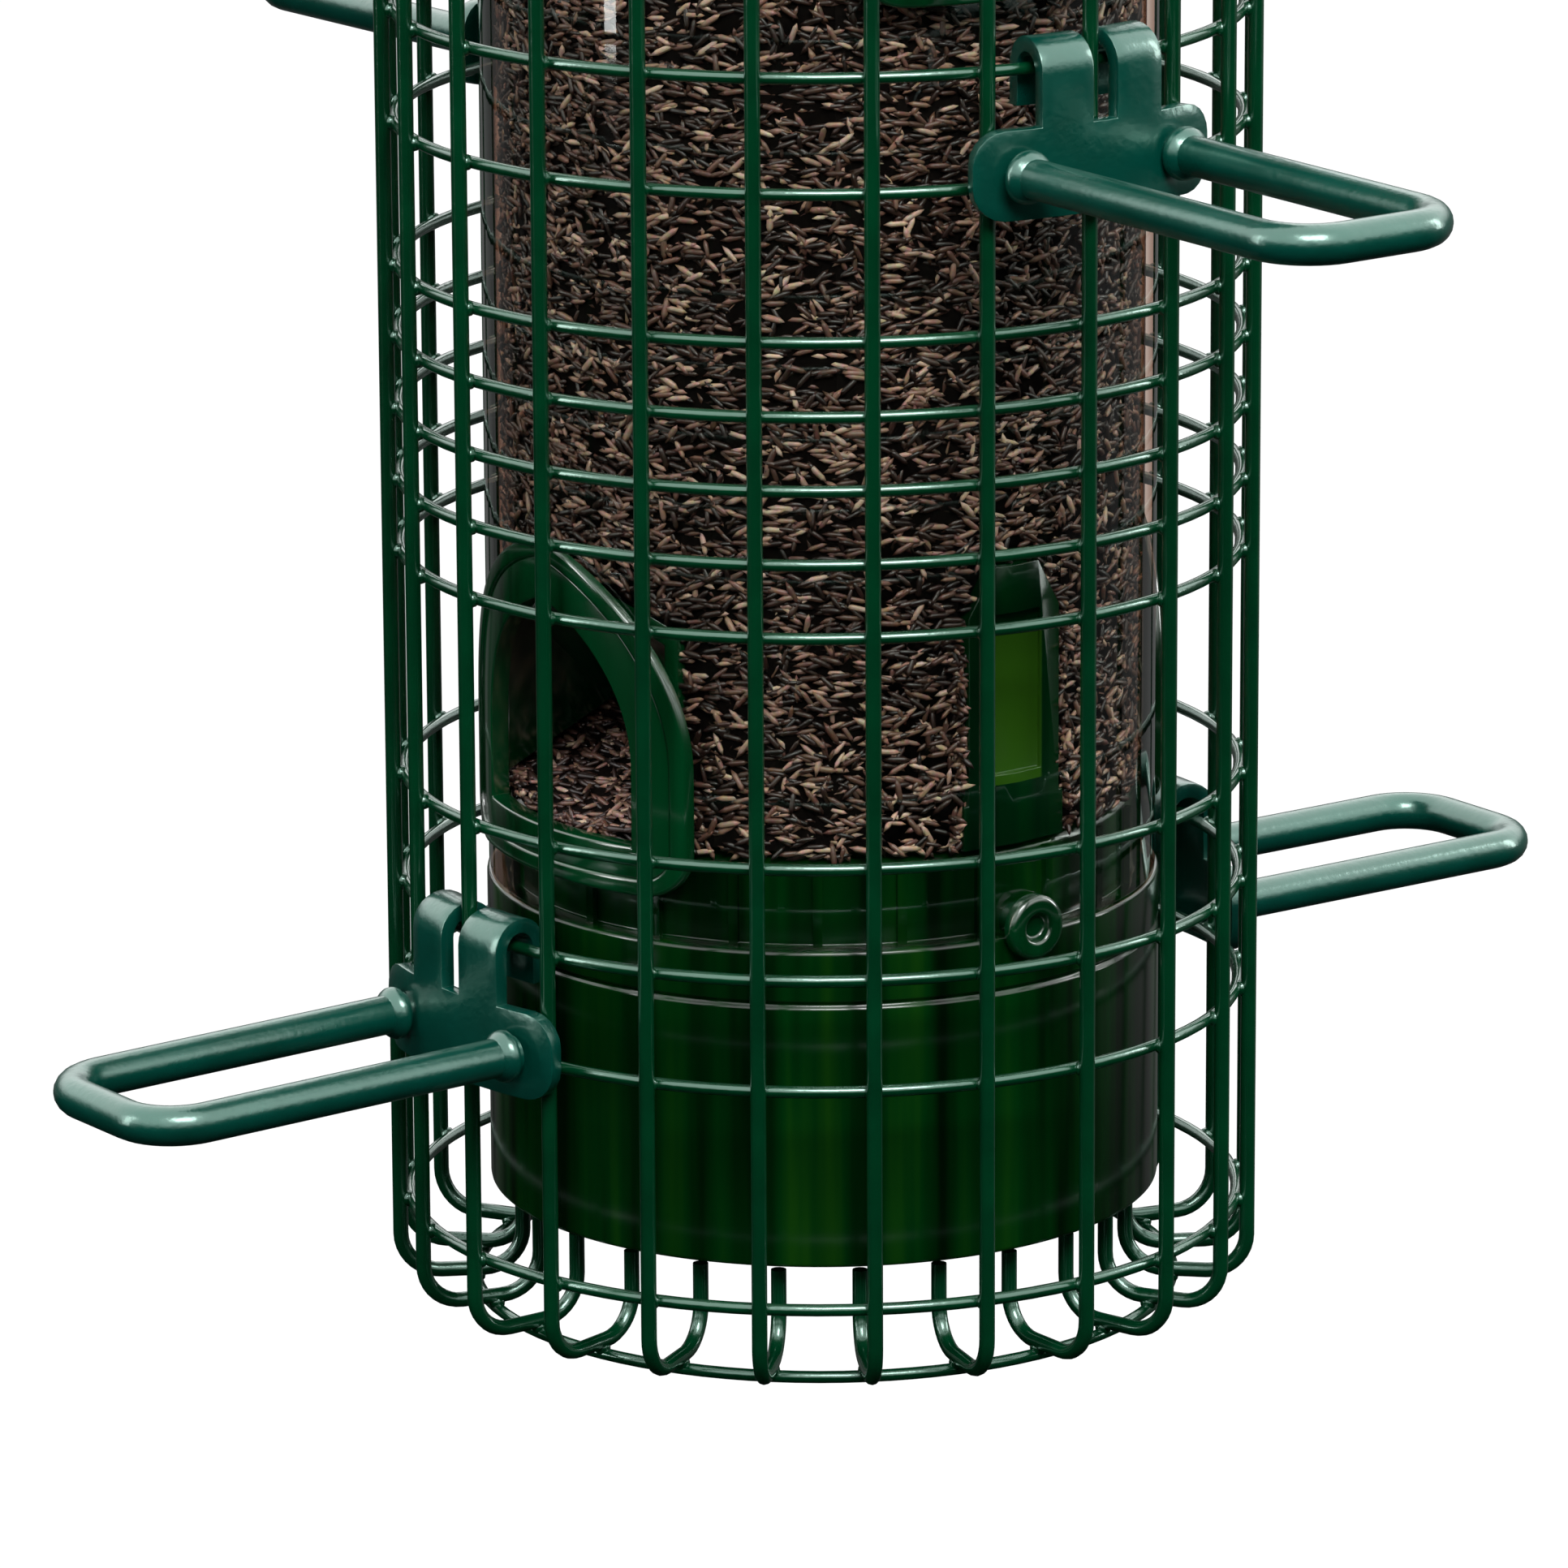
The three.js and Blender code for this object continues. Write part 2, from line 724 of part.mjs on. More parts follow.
// Bridge, rod and spring

const yokeTurn = Math.PI / wireCount;
const bridgeScrewHeight = bridgeTop + bridgeScrewLift;
const bridgeTabFace = Math.sqrt(tubeInner ** 2 - (bridgeWidth / 2) ** 2) - 2 * seat;
const eyeCentre = overallHeight - rodRadius - eyeRadius;

function springBridge() {
  const inner = bridgeTabFace - strapThickness;
  const tabTop = bridgeTop + bridgeTabHeight;
  const strap = solidOf(sidePrism([
    [-bridgeTabFace, bridgeUnderside],
    [bridgeTabFace, bridgeUnderside],
    [bridgeTabFace, tabTop],
    [inner, tabTop],
    [inner, bridgeTop],
    [-inner, bridgeTop],
    [-inner, tabTop],
    [-bridgeTabFace, tabTop],
  ], bridgeWidth));
  const rodHole = disc(rodRadius + seat, bridgeUnderside - overrun, bridgeTop + overrun, smallSegments);
  const screwHole = crossPin(screwRadius + seat, -tubeRadius, tubeRadius, bridgeScrewHeight);
  return geometryOf(cut(strap, solidOf(rodHole), solidOf(screwHole)));
}

function bridgeScrew() {
  const headInner = tubeRadius + seat;
  const headOuter = headInner + screwHeadThickness;
  const rounding = screwHeadThickness / 2;
  return revolve([
    [0, headInner - screwLength],
    [screwRadius, headInner - screwLength],
    [screwRadius, headInner],
    [screwHeadRadius, headInner],
    [screwHeadRadius, headInner + rounding],
    [screwHeadRadius - rounding, headOuter],
    [0, headOuter],
  ], smallSegments).rotateY(Math.PI / 2).translate(0, 0, bridgeScrewHeight);
}

function screwNut() {
  const outer = bridgeTabFace - strapThickness - seat;
  const geometry = nut(screwNutWidth, screwRadius + seat, screwNutThickness);
  return geometry.rotateY(Math.PI / 2).translate(outer - screwNutThickness, 0, bridgeScrewHeight);
}

// The rod runs up the axis and turns into an open eye at the top
function hangerRod() {
  const opening = eyeOpening * degree;
  const eye = arc(0, eyeCentre, eyeRadius, opening - Math.PI / 2, (3 * Math.PI) / 2 - opening, eyeSteps);
  const neckBottom = eyeCentre - eyeRadius - eyeNeck;
  const [eyeStartX, eyeStartHeight] = eye[0];
  const lead = (eyeNeck * 2) / 3;
  const neck = new THREE.CubicBezierCurve3(
    new THREE.Vector3(0, 0, neckBottom),
    new THREE.Vector3(0, 0, neckBottom + lead),
    new THREE.Vector3(
      eyeStartX - lead * Math.cos(opening) / 2,
      0,
      eyeStartHeight - lead * Math.sin(opening) / 2,
    ),
    new THREE.Vector3(eyeStartX, 0, eyeStartHeight),
  );
  const tip = bridgeUnderside - seat - rodNutThickness - rodTip;
  const points = [
    new THREE.Vector3(0, 0, tip),
    ...neck.getPoints(bendSteps),
    ...eye.slice(1).map(([x, height]) => new THREE.Vector3(x, 0, height)),
  ];
  return tubeAlong(points, rodSides, rodRadius);
}

function helixPoints() {
  const steps = springCurls * springStepsPerCurl;
  const bottom = springBottom + springWire / 2;
  const top = springTop - springWire / 2;
  return Array.from({ length: steps + 1 }, (_, index) => {
    const angle = (2 * Math.PI * index) / springStepsPerCurl;
    const height = bottom + ((top - bottom) * index) / steps;
    return new THREE.Vector3(springRadius * Math.cos(angle), springRadius * Math.sin(angle), height);
  });
}

// The least gap between curls, measured on the spring's points half a curl or more apart
function leastSpringGap(points) {
  let least = Infinity;
  points.forEach((point, index) => {
    for (const other of points.slice(index + springStepsPerCurl / 2)) {
      least = Math.min(least, point.distanceTo(other));
    }
  });
  return least - springWire;
}

function mainSpring() {
  const points = helixPoints();
  console.log(`least gap between the spring's curls: ${leastSpringGap(points).toFixed(2)} mm`);
  return tubeAlong(points, springSides, springWire / 2);
}

// Yoke: a strap across the tube whose ends close round the cage's top ring, between two wires
function cageYoke() {
  const hookInner = ringAxisRadius + ringDiameter / 2 + seat;
  const hookOuter = hookInner + yokeHookReach;
  const ringBottom = topRingHeight - ringDiameter / 2 - seat;
  const hookBottom = ringBottom - strapThickness;
  const returnRadius = hookInner - yokeHookReturn;
  const top = yokeUnderside + strapThickness;
  const right = [
    [returnRadius, hookBottom],
    [hookOuter, hookBottom],
    [hookOuter, top],
  ];
  const rightInside = [
    [hookInner, yokeUnderside],
    [hookInner, ringBottom],
    [returnRadius, ringBottom],
  ];
  const left = right.map(([radius, height]) => [-radius, height]).reverse();
  const leftInside = rightInside.map(([radius, height]) => [-radius, height]).reverse();
  const strap = solidOf(sidePrism([...right, ...left, ...leftInside, ...rightInside], yokeWidth));
  const hole = disc(rodRadius + running + bushWall + seat, yokeUnderside - overrun, top + overrun, smallSegments);
  return geometryOf(cut(strap, solidOf(hole)));
}

function yokeBush() {
  const bore = rodRadius + running;
  const flangeBottom = yokeUnderside + strapThickness + seat;
  return revolve([
    [bore, yokeUnderside],
    [bore + bushWall, yokeUnderside],
    [bore + bushWall, flangeBottom],
    [bore + bushWall + bushFlangeReach, flangeBottom],
    [bore + bushWall + bushFlangeReach, flangeBottom + bushFlange],
    [bore, flangeBottom + bushFlange],
  ], smallSegments);
}

function stopCollar() {
  const bottom = yokeUnderside + strapThickness + seat + bushFlange + seat;
  return pipe(rodRadius + seat, collarRadius, bottom, bottom + collarHeight, smallSegments);
}

// Lid

function domeHeight(radius, rimRadius, rise) {
  return lidShoulder + rise * Math.sqrt(1 - (radius / rimRadius) ** 2);
}

function domeCorners(fromRadius, rimRadius, rise) {
  const from = Math.asin(fromRadius / rimRadius);
  return Array.from({ length: domeSteps + 1 }, (_, index) => {
    const angle = from + ((Math.PI / 2 - from) * index) / domeSteps;
    return [rimRadius * Math.sin(angle), lidShoulder + rise * Math.cos(angle)];
  });
}

const grommetBore = rodRadius + running;
const lidHole = grommetBore + grommetWall + seat;

// A domed lid with a skirt over the cage's top and a lip round the tube's rim
function lid() {
  const inner = lidRadius - lidWall;
  const innerRise = domeRise - lidWall;
  const shelf = tubeRimHeight + seat;
  const lipInner = tubeRadius + running;
  const lipOuter = lipInner + lidWall;
  const shelfInner = tubeRadius - lidShelfInset;
  const outside = domeCorners(lidHubRadius, lidRadius, domeRise).reverse();
  const inside = domeCorners(lidHubRadius, inner, innerRise);
  const overShelf = inside.filter(([radius]) => radius < shelfInner);
  const pastLip = inside.filter(([radius]) => radius > lipOuter);
  return revolve([
    [lidRadius, lidSkirt],
    ...outside,
    [lidHole, domeHeight(lidHubRadius, lidRadius, domeRise)],
    [lidHole, domeHeight(lidHubRadius, inner, innerRise)],
    ...overShelf,
    [shelfInner, domeHeight(shelfInner, inner, innerRise)],
    [shelfInner, shelf],
    [lipInner, shelf],
    [lipInner, shelf - lidLipReach],
    [lipOuter, shelf - lidLipReach],
    [lipOuter, domeHeight(lipOuter, inner, innerRise)],
    ...pastLip,
    [inner, lidSkirt],
  ]);
}

function lidGrommet() {
  const top = domeHeight(lidHubRadius, lidRadius, domeRise) + seat;
  const outer = grommetBore + grommetWall;
  return revolve([
    [grommetBore, top - grommetReach],
    [outer, top - grommetReach],
    [outer, top],
    [outer + grommetFlangeReach, top],
    [outer + grommetFlangeReach, top + grommetFlange / 2],
    [outer, top + grommetFlange],
    [grommetBore, top + grommetFlange],
  ], smallSegments);
}

// Perches

const plateInner = cageRadius + seat;
const plateOuter = plateInner + plateThickness;

function roundedPlateOutline() {
  const top = hookRingHeight - plateTopDrop;
  const bottom = hookRingHeight - plateBottomDrop;
  const right = plateHalfWidth - plateCorner;
  return [
    ...arc(right, bottom + plateCorner, plateCorner, -Math.PI / 2, 0, bendSteps),
    ...arc(right, top - plateCorner, plateCorner, 0, Math.PI / 2, bendSteps),
    ...arc(-right, top - plateCorner, plateCorner, Math.PI / 2, Math.PI, bendSteps),
    ...arc(-right, bottom + plateCorner, plateCorner, Math.PI, (3 * Math.PI) / 2, bendSteps),
  ];
}

// A strip that rises from the plate and bends over the hook ring, down its inner side
function hookStrip() {
  const ringInner = (ringAxisRadius - ringDiameter / 2) * Math.cos(Math.PI / wireCount);
  const tipOuter = ringInner - 2 * seat;
  const crownCentre = (plateInner + tipOuter) / 2;
  const crownInner = (plateInner - tipOuter) / 2;
  const crownOuter = crownInner + plateThickness;
  const overRing = hookRingHeight + ringDiameter / 2 + seat;
  const crownFlat = crownInner * Math.cos(Math.PI / (2 * hookSteps));
  const crownHeight = overRing - Math.sqrt(crownFlat ** 2 - (crownCentre - ringInner) ** 2);
  const bottom = hookRingHeight - plateBottomDrop + plateCorner;
  const tip = hookRingHeight - hookTipDrop;
  return sidePrism([
    [plateInner, bottom],
    [plateOuter, bottom],
    ...arc(crownCentre, crownHeight, crownOuter, 0, Math.PI, hookSteps),
    [tipOuter - plateThickness, tip],
    [tipOuter, tip],
    ...arc(crownCentre, crownHeight, crownInner, Math.PI, 0, hookSteps),
  ], hookWidth);
}

function perchBracket() {
  const plate = curvedPlate(roundedPlateOutline(), plateInner, plateOuter);
  const strip = hookStrip();
  const turn = Math.asin((hookSlot + hookWidth) / 2 / ringAxisRadius);
  return geometryOf(join(plate, solidOf(placed(strip, turn)), solidOf(placed(strip, -turn))));
}

// A bent bar that stands out from the bracket, with a collar of weld at each root
function perchBar() {
  const root = Math.sqrt(plateOuter ** 2 - (barHalfSpan - barDiameter / 2) ** 2) + 2 * seat;
  const height = hookRingHeight - (plateTopDrop + plateBottomDrop) / 2;
  const corner = cageRadius + barReach - barCorner;
  const side = barHalfSpan - barCorner;
  const outline = [
    [root, barHalfSpan],
    ...arc(corner, side, barCorner, Math.PI / 2, 0, bendSteps),
    ...arc(corner, -side, barCorner, 0, -Math.PI / 2, bendSteps),
    [root, -barHalfSpan],
  ];
  const bar = tubeAlong(outline.map(([x, y]) => new THREE.Vector3(x, y, 0)), rodSides, barDiameter / 2);
  const collars = [barHalfSpan, -barHalfSpan].map((across) => (
    solidOf(crossPin(barCollarRadius, root, root + barCollarLength, 0, rodSides).translate(0, across, 0))
  ));
  const whole = geometryOf(join(solidOf(bar), ...collars));
  return whole.translate(-root, 0, 0).rotateY(barDroop * degree).translate(root, 0, height);
}

// Assembly

function material(color, roughness, metalness, opacity = 1) {
  return new THREE.MeshStandardMaterial({ color, roughness, metalness, opacity, transparent: opacity < 1 });
}

const feeder = new THREE.Group();

function addPiece(name, geometry, pieceMaterial, turn = 0, level = lowestLevel) {
  const mesh = new THREE.Mesh(geometry, pieceMaterial);
  mesh.name = name;
  mesh.rotation.z = turn;
  mesh.position.z = level * levelPitch;
  feeder.add(mesh);
}

const panel = cagePanel();
for (let index = 0; index < panelCount; index += 1) {
  addPiece(`cage_panel_${index + 1}`, panel, material(paint, 0.4, 0.1), index * wiresPerPanel * wireTurn);
}
addPiece('cage_yoke', cageYoke(), material(steel, 0.35, 0.9), yokeTurn);
addPiece('yoke_bush', yokeBush(), material(darkRubber, 0.6, 0));
addPiece('main_spring', mainSpring(), material(steel, 0.3, 1));

addPiece('seed_tube', seedTube(), material(clearPlastic, 0.05, 0, 0.3));
addPiece('base_cup', baseCup(), material(mouldedGreen, 0.25, 0));
addPiece('seed_divider', seedDivider(), material(mouldedGreen, 0.3, 0));
addPiece('seed_fill', seedFill(), material(seedBrown, 0.9, 0));
addPiece('base_stud_front', baseStud(), material(mouldedGreen, 0.25, 0), -Math.PI / 2);
addPiece('base_stud_back', baseStud(), material(mouldedGreen, 0.25, 0), Math.PI / 2);

const frame = portFrame();
const hood = portHood();
const bracket = perchBracket();
const bar = perchBar();
for (const { place, level, turn } of ports) {
  addPiece(`port_frame_${place}`, frame, material(mouldedGreen, 0.25, 0), turn, level);
  addPiece(`port_hood_${place}`, hood, material(mouldedGreen, 0.35, 0), turn, level);
  addPiece(`perch_bracket_${place}`, bracket, material(perchPaint, 0.35, 0.1), turn, level);
  addPiece(`perch_bar_${place}`, bar, material(perchPaint, 0.35, 0.1), turn, level);
}

addPiece('spring_bridge', springBridge(), material(steel, 0.35, 0.9));
addPiece('bridge_screw_right', bridgeScrew(), material(steel, 0.3, 1));
addPiece('bridge_screw_left', bridgeScrew(), material(steel, 0.3, 1), Math.PI);
addPiece('bridge_nut_right', screwNut(), material(steel, 0.3, 1));
addPiece('bridge_nut_left', screwNut(), material(steel, 0.3, 1), Math.PI);
addPiece('hanger_rod', hangerRod(), material(steel, 0.3, 1));
addPiece('stop_collar', stopCollar(), material(steel, 0.3, 1));

const rodNut = nut(rodNutWidth, rodRadius + seat, rodNutThickness);
const lowerNutHeight = bridgeUnderside - seat - rodNutThickness;
const upperNutHeight = bridgeTop + seat;
addPiece('rod_nut_lower', rodNut.clone().translate(0, 0, lowerNutHeight), material(steel, 0.3, 1));
addPiece('rod_nut_upper', rodNut.clone().translate(0, 0, upperNutHeight), material(steel, 0.3, 1));

const lowerWasherBore = (rodNutWidth * cornersForFlats) / 2 + seat;
const lowerWasherHeight = bridgeTop + seat;
const lowerWasher = pipe(
  lowerWasherBore,
  washerRadius,
  lowerWasherHeight,
  lowerWasherHeight + washerThickness,
  smallSegments,
);
addPiece('spring_washer_lower', lowerWasher, material(steel, 0.3, 1));
const upperWasherHeight = yokeUnderside - seat - washerThickness;
const upperWasher = pipe(
  rodRadius + running,
  washerRadius,
  upperWasherHeight,
  upperWasherHeight + washerThickness,
  smallSegments,
);
addPiece('spring_washer_upper', upperWasher, material(steel, 0.3, 1));

addPiece('lid', lid(), material(mouldedGreen, 0.3, 0));
addPiece('lid_grommet', lidGrommet(), material(darkRubber, 0.6, 0));

export default feeder;
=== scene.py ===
# %% [markdown]
# # A squirrel proof bird feeder, dressed from its CAD model
# The feeder is a clear tube of seed inside a green wire cage that hangs on a spring. The packed
# CAD model is loaded first. It stays where it is, and each piece made here stands for one or
# more of its nodes and rides on the same moving body.

import json
import math
from functools import partial

import bmesh
import bpy
from mathutils import Matrix, Vector
from mathutils.geometry import interpolate_bezier

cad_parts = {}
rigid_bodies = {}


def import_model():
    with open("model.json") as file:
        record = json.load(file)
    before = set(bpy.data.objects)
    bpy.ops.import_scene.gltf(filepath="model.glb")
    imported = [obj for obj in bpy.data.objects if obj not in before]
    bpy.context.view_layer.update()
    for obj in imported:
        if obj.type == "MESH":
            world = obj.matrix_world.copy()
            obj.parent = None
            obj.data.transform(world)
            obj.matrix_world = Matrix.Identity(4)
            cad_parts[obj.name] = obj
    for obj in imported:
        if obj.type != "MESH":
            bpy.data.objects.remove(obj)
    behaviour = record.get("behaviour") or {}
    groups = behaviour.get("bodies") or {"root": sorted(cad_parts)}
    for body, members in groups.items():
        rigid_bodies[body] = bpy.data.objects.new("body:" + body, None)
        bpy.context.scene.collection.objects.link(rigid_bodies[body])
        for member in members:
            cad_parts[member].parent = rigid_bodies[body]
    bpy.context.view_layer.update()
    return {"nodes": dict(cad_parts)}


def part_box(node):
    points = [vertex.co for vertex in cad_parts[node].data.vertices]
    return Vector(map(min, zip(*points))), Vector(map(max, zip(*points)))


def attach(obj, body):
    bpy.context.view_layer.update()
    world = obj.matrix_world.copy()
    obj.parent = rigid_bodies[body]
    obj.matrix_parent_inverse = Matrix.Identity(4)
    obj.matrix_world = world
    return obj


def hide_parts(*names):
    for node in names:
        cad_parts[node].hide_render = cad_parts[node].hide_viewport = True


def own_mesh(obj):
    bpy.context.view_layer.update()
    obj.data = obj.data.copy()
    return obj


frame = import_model()
print("nodes in the CAD model:", len(frame["nodes"]))

# %% [markdown]
# ## The camera
# The photograph is a close view from a little above, with a long lens. The perspective of the
# cage's wires gave the distance, the height and the lens. The camera is placed by three axes:
# to the right, up, and back from the feeder.

# %% Camera
MM = 0.001
AIM_HEIGHT = 76.2 * MM
CAMERA_DISTANCE = 1423.1 * MM
CAMERA_SIDESTEP = 5.71 * MM
CAMERA_LENS, SENSOR_WIDTH = 219.73, 36
camera_turn, camera_lift, camera_roll = (math.radians(angle) for angle in (-126.31, 14.98, -0.31))


def placed(name, data):
    thing = bpy.data.objects.new(name, data)
    bpy.context.collection.objects.link(thing)
    return thing


away = Vector((math.cos(camera_lift) * math.cos(camera_turn),
               math.cos(camera_lift) * math.sin(camera_turn), math.sin(camera_lift)))
flat_away = Vector((away.x, away.y, 0)).normalized()
level_right = Vector((-math.sin(camera_turn), math.cos(camera_turn), 0))
roll = Matrix.Rotation(camera_roll, 3, away)
right = roll @ level_right
up = roll @ away.cross(level_right)
stand = Vector((0, 0, AIM_HEIGHT)) + away * CAMERA_DISTANCE - level_right * CAMERA_SIDESTEP

camera = placed("camera", bpy.data.cameras.new("camera"))
camera.data.lens, camera.data.sensor_width = CAMERA_LENS, SENSOR_WIDTH
camera.data.clip_start = 50 * MM
camera.matrix_world = Matrix((right, up, away)).transposed().to_4x4()
camera.location = stand
bpy.context.scene.camera = camera
print("camera stands at", [round(value, 3) for value in stand])

# %% [markdown]
# ## Colours and nodes
# Colours are written in hex, as a paint chart gives them, and one function turns them into the
# linear values that Blender works in. One small function adds a node: a socket given as an input
# is linked, a node stands for its first output in use, and any other value is set.

# %% Colour and node helpers
def linear(colour):
    channels = [int(colour[start:start + 2], 16) / 255 for start in (1, 3, 5)]
    bent = [c / 12.92 if c <= 0.04045 else ((c + 0.055) / 1.055) ** 2.4 for c in channels]
    return (*bent, 1)


def add_node(tree, kind, inputs=None, **settings):
    """A kind is a type's name without its family, such as Math for ShaderNodeMath."""
    families = ("Shader",) if tree.type == "SHADER" else ("Geometry", "Function", "Shader", "")
    kinds = [f"{family}Node{kind}" for family in families]
    node = tree.nodes.new(next(name for name in kinds if hasattr(bpy.types, name)))
    for name, value in settings.items():
        setattr(node, name, value)
    for name, value in (inputs or {}).items():
        if isinstance(value, bpy.types.Node):
            value = next(output for output in value.outputs if output.enabled)
        if isinstance(value, bpy.types.NodeSocket):
            tree.links.new(value, node.inputs[name])
        else:
            node.inputs[name].default_value = value
    return node


def emptied(owner):
    """Clears the tree of a world or a material, and gives the call that adds nodes to it."""
    owner.use_nodes = True
    owner.node_tree.nodes.clear()
    return partial(add_node, owner.node_tree)


print("mid green becomes", [round(value, 3) for value in linear("#00502d")])

# %% [markdown]
# ## The stage
# The feeder hangs, so the floor lies well under it. World and floor are white to the camera, as
# in the photograph. Gloss mirrors a room with a bright ceiling, a white wall far behind and dark
# round the camera: greens stay dark in front, turn pale at their edges, and carry a pale line
# along the top of each ring. The lamps stay at a plain level.

# %% World
world = bpy.data.worlds.new("white studio")
bpy.context.scene.world = world
bpy.context.scene.view_settings.view_transform = "Standard"
LIGHT_LOW, LIGHT_HIGH = 0.06, 0.56
GLOSS_FRONT, CEILING, WALL = 0.02, 3.0, 0.13
WHITE = linear("#ffffff")
WALL_TURN = 0.35
wall_side = -(away - right * WALL_TURN).normalized()


def ray_kinds(add):
    """Tells the rays that a gloss sends out, and those that show the stage as it is."""
    path = add("LightPath").outputs
    seen = add("Math", {0: path["Is Camera Ray"], 1: path["Is Transmission Ray"]}, operation="MAXIMUM")
    return path["Is Glossy Ray"], seen


add = emptied(world)
in_gloss, seen = ray_kinds(add)
look = add("TexCoord").outputs["Generated"]
rise = add("SeparateXYZ", {"Vector": look}).outputs["Z"]
room = add("MapRange", {
    "Value": rise, "From Min": -0.1, "From Max": 0.9, "To Min": LIGHT_LOW, "To Max": LIGHT_HIGH})
plain = add("MapRange", {"Value": seen, "To Min": room})
to_wall = add("VectorMath", {0: look, 1: wall_side}, operation="DOT_PRODUCT")
wall_share = add("MapRange", {
    "Value": to_wall, "From Min": 0.3, "From Max": 0.9, "To Min": GLOSS_FRONT, "To Max": WALL},
    interpolation_type="SMOOTHSTEP")
ceiling_share = add("MapRange", {
    "Value": rise, "From Min": 0.02, "From Max": 0.42, "To Max": CEILING}, interpolation_type="SMOOTHSTEP")
mirrored = add("Math", {0: wall_share, 1: ceiling_share}, operation="MAXIMUM")
strength = add("Mix", {"Factor": in_gloss, "A": plain, "B": mirrored})
sky = add("Background", {"Color": WHITE, "Strength": strength})
add("OutputWorld", {"Surface": sky})

# %% Floor
FLOOR_DROP, FLOOR_HALF = 350 * MM, 12.0
floor_mesh = bpy.data.meshes.new("floor")
floor_mesh.from_pydata([(x * FLOOR_HALF, y * FLOOR_HALF, -FLOOR_DROP)
                        for x, y in ((-1, -1), (1, -1), (1, 1), (-1, 1))], [], [(0, 1, 2, 3)])
floor = placed("floor", floor_mesh)
floor_paint = bpy.data.materials.new("white painted floor")
floor_mesh.materials.append(floor_paint)

add = emptied(floor_paint)
in_gloss, seen = ray_kinds(add)
spot = add("TexCoord").outputs["Object"]
how_far = add("VectorMath", {0: spot, 1: wall_side}, operation="DOT_PRODUCT")
mirrored = add("MapRange", {"Value": how_far, "From Min": 0.5, "From Max": 1.5, "To Max": WALL})
glossed = add("Math", {0: mirrored, 1: in_gloss}, operation="MULTIPLY")
emitted = add("Math", {0: seen, 1: glossed}, operation="MAXIMUM")
paint = add("Mix", {"Factor": in_gloss, "A": linear("#505050"), "B": linear("#080808")}, data_type="RGBA")
lit = add("BsdfDiffuse", {"Color": paint})
glow = add("Emission", {"Color": WHITE, "Strength": emitted})
add("OutputMaterial", {"Surface": add("AddShader", {0: lit, 1: glow})})

# %% Lamps
LAMP_AIM = Vector((0, 0, 0.15))
LAMPS = (("overhead", (0.25, 1.05, 1.25), (0.8, 0.6), 30),
         ("right", (1.55, -0.35, 0.6), (0.3, 1.0), 12),
         ("left", (-1.35, 0.4, 0.5), (0.2, 1.0), 7))
for side, (across, back, height), size, power in LAMPS:
    lamp = bpy.data.lights.new(f"{side} softbox", "AREA")
    lamp.shape = "RECTANGLE"
    lamp.size, lamp.size_y = size
    lamp.energy = power
    box = placed(lamp.name, lamp)
    box.location = level_right * across + flat_away * back + Vector((0, 0, height))
    box.rotation_euler = (LAMP_AIM - box.location).to_track_quat("-Z", "Y").to_euler()
print("lamps:", len(LAMPS))

# %% [markdown]
# ## Materials
# Each one starts from what the real thing is and how its surface was made. Patterns read Object
# coordinates in metres, so a scale is one over the real size of the pattern.

# %% Material helpers
def new_material(name):
    """An empty material, the call that adds nodes to it, and the place on the piece in metres."""
    material = bpy.data.materials.new(name)
    add = emptied(material)
    return material, add, add("TexCoord").outputs["Object"]


def per_mm(size):
    return 1 / (size * MM)


def set_stops(ramp, *stops):
    """Gives a colour ramp these stops, each a position and a colour."""
    elements = ramp.color_ramp.elements
    elements.remove(elements[1])
    elements[0].position = stops[0][0]
    for position, _ in stops[1:]:
        elements.new(position)
    for element, (_, colour) in zip(elements, stops):
        element.color = linear(colour)


# %% [markdown]
# ### Powder coat on wire
# The cage is dipped or sprayed with polyester powder and baked. The coat flows into a gloss film
# with slight orange peel, a little thicker and darker in places, which breaks up the highlights.

# %% Clouded finishes, and the two enamels
def clouded(name, deep, pale, cloud, grain, values):
    """Two shades in clouds of a size and detail, over a grain of a size, strength and height."""
    material, add, here = new_material(name)
    clouds = add("TexNoise", {"Vector": here, "Scale": per_mm(cloud[0]), "Detail": cloud[1]})
    tint = add("Mix", {"Factor": clouds, "A": linear(deep), "B": linear(pale)}, data_type="RGBA")
    skin = add("TexNoise", {"Vector": here, "Scale": per_mm(grain[0])})
    bump = add("Bump", {"Height": skin, "Strength": grain[1], "Distance": grain[2] * MM})
    shader = add("BsdfPrincipled", {"Base Color": tint, "Normal": bump, **values})
    add("OutputMaterial", {"Surface": shader})
    return material


POWDER = {"IOR": 1.5, "Specular IOR Level": 1.0, "Specular Tint": linear("#dcfff2")}
cage_enamel = clouded("cage powder coat, gloss", "#002412", "#003d21", (9, 3.0), (1.6, 0.35, 0.12),
                      {"Roughness": 0.18, **POWDER})
perch_enamel = clouded("perch powder coat, satin", "#002e24", "#00453a", (9, 3.0), (1.2, 0.35, 0.15),
                       {"Roughness": 0.24, **POWDER})

# %% [markdown]
# ### Moulded green styrene
# The cup, frames, lid and divider are injection moulded. The plastic is glossy, and a Translucent
# share lets a little olive light through. Faint flow lines run up the mould and pick among the
# shades; the cup's olive palest shade is a painted glow of light through thin plastic. The divider's
# panel is painted olive all over, a painted glow of light through its thin wall.

# %% Moulded green plastic
# The first olive is painted glow, for light through the divider panel's thin wall; the second is the
# Translucent shader's colour.
PAINTED_GLOW_OLIVE, LIGHT_THROUGH = linear("#2d5410"), linear("#6f9c1c")
GLOW_PANEL = {"half": 4.5, "low": 86.5, "top": 108.5, "edge": 0.4}


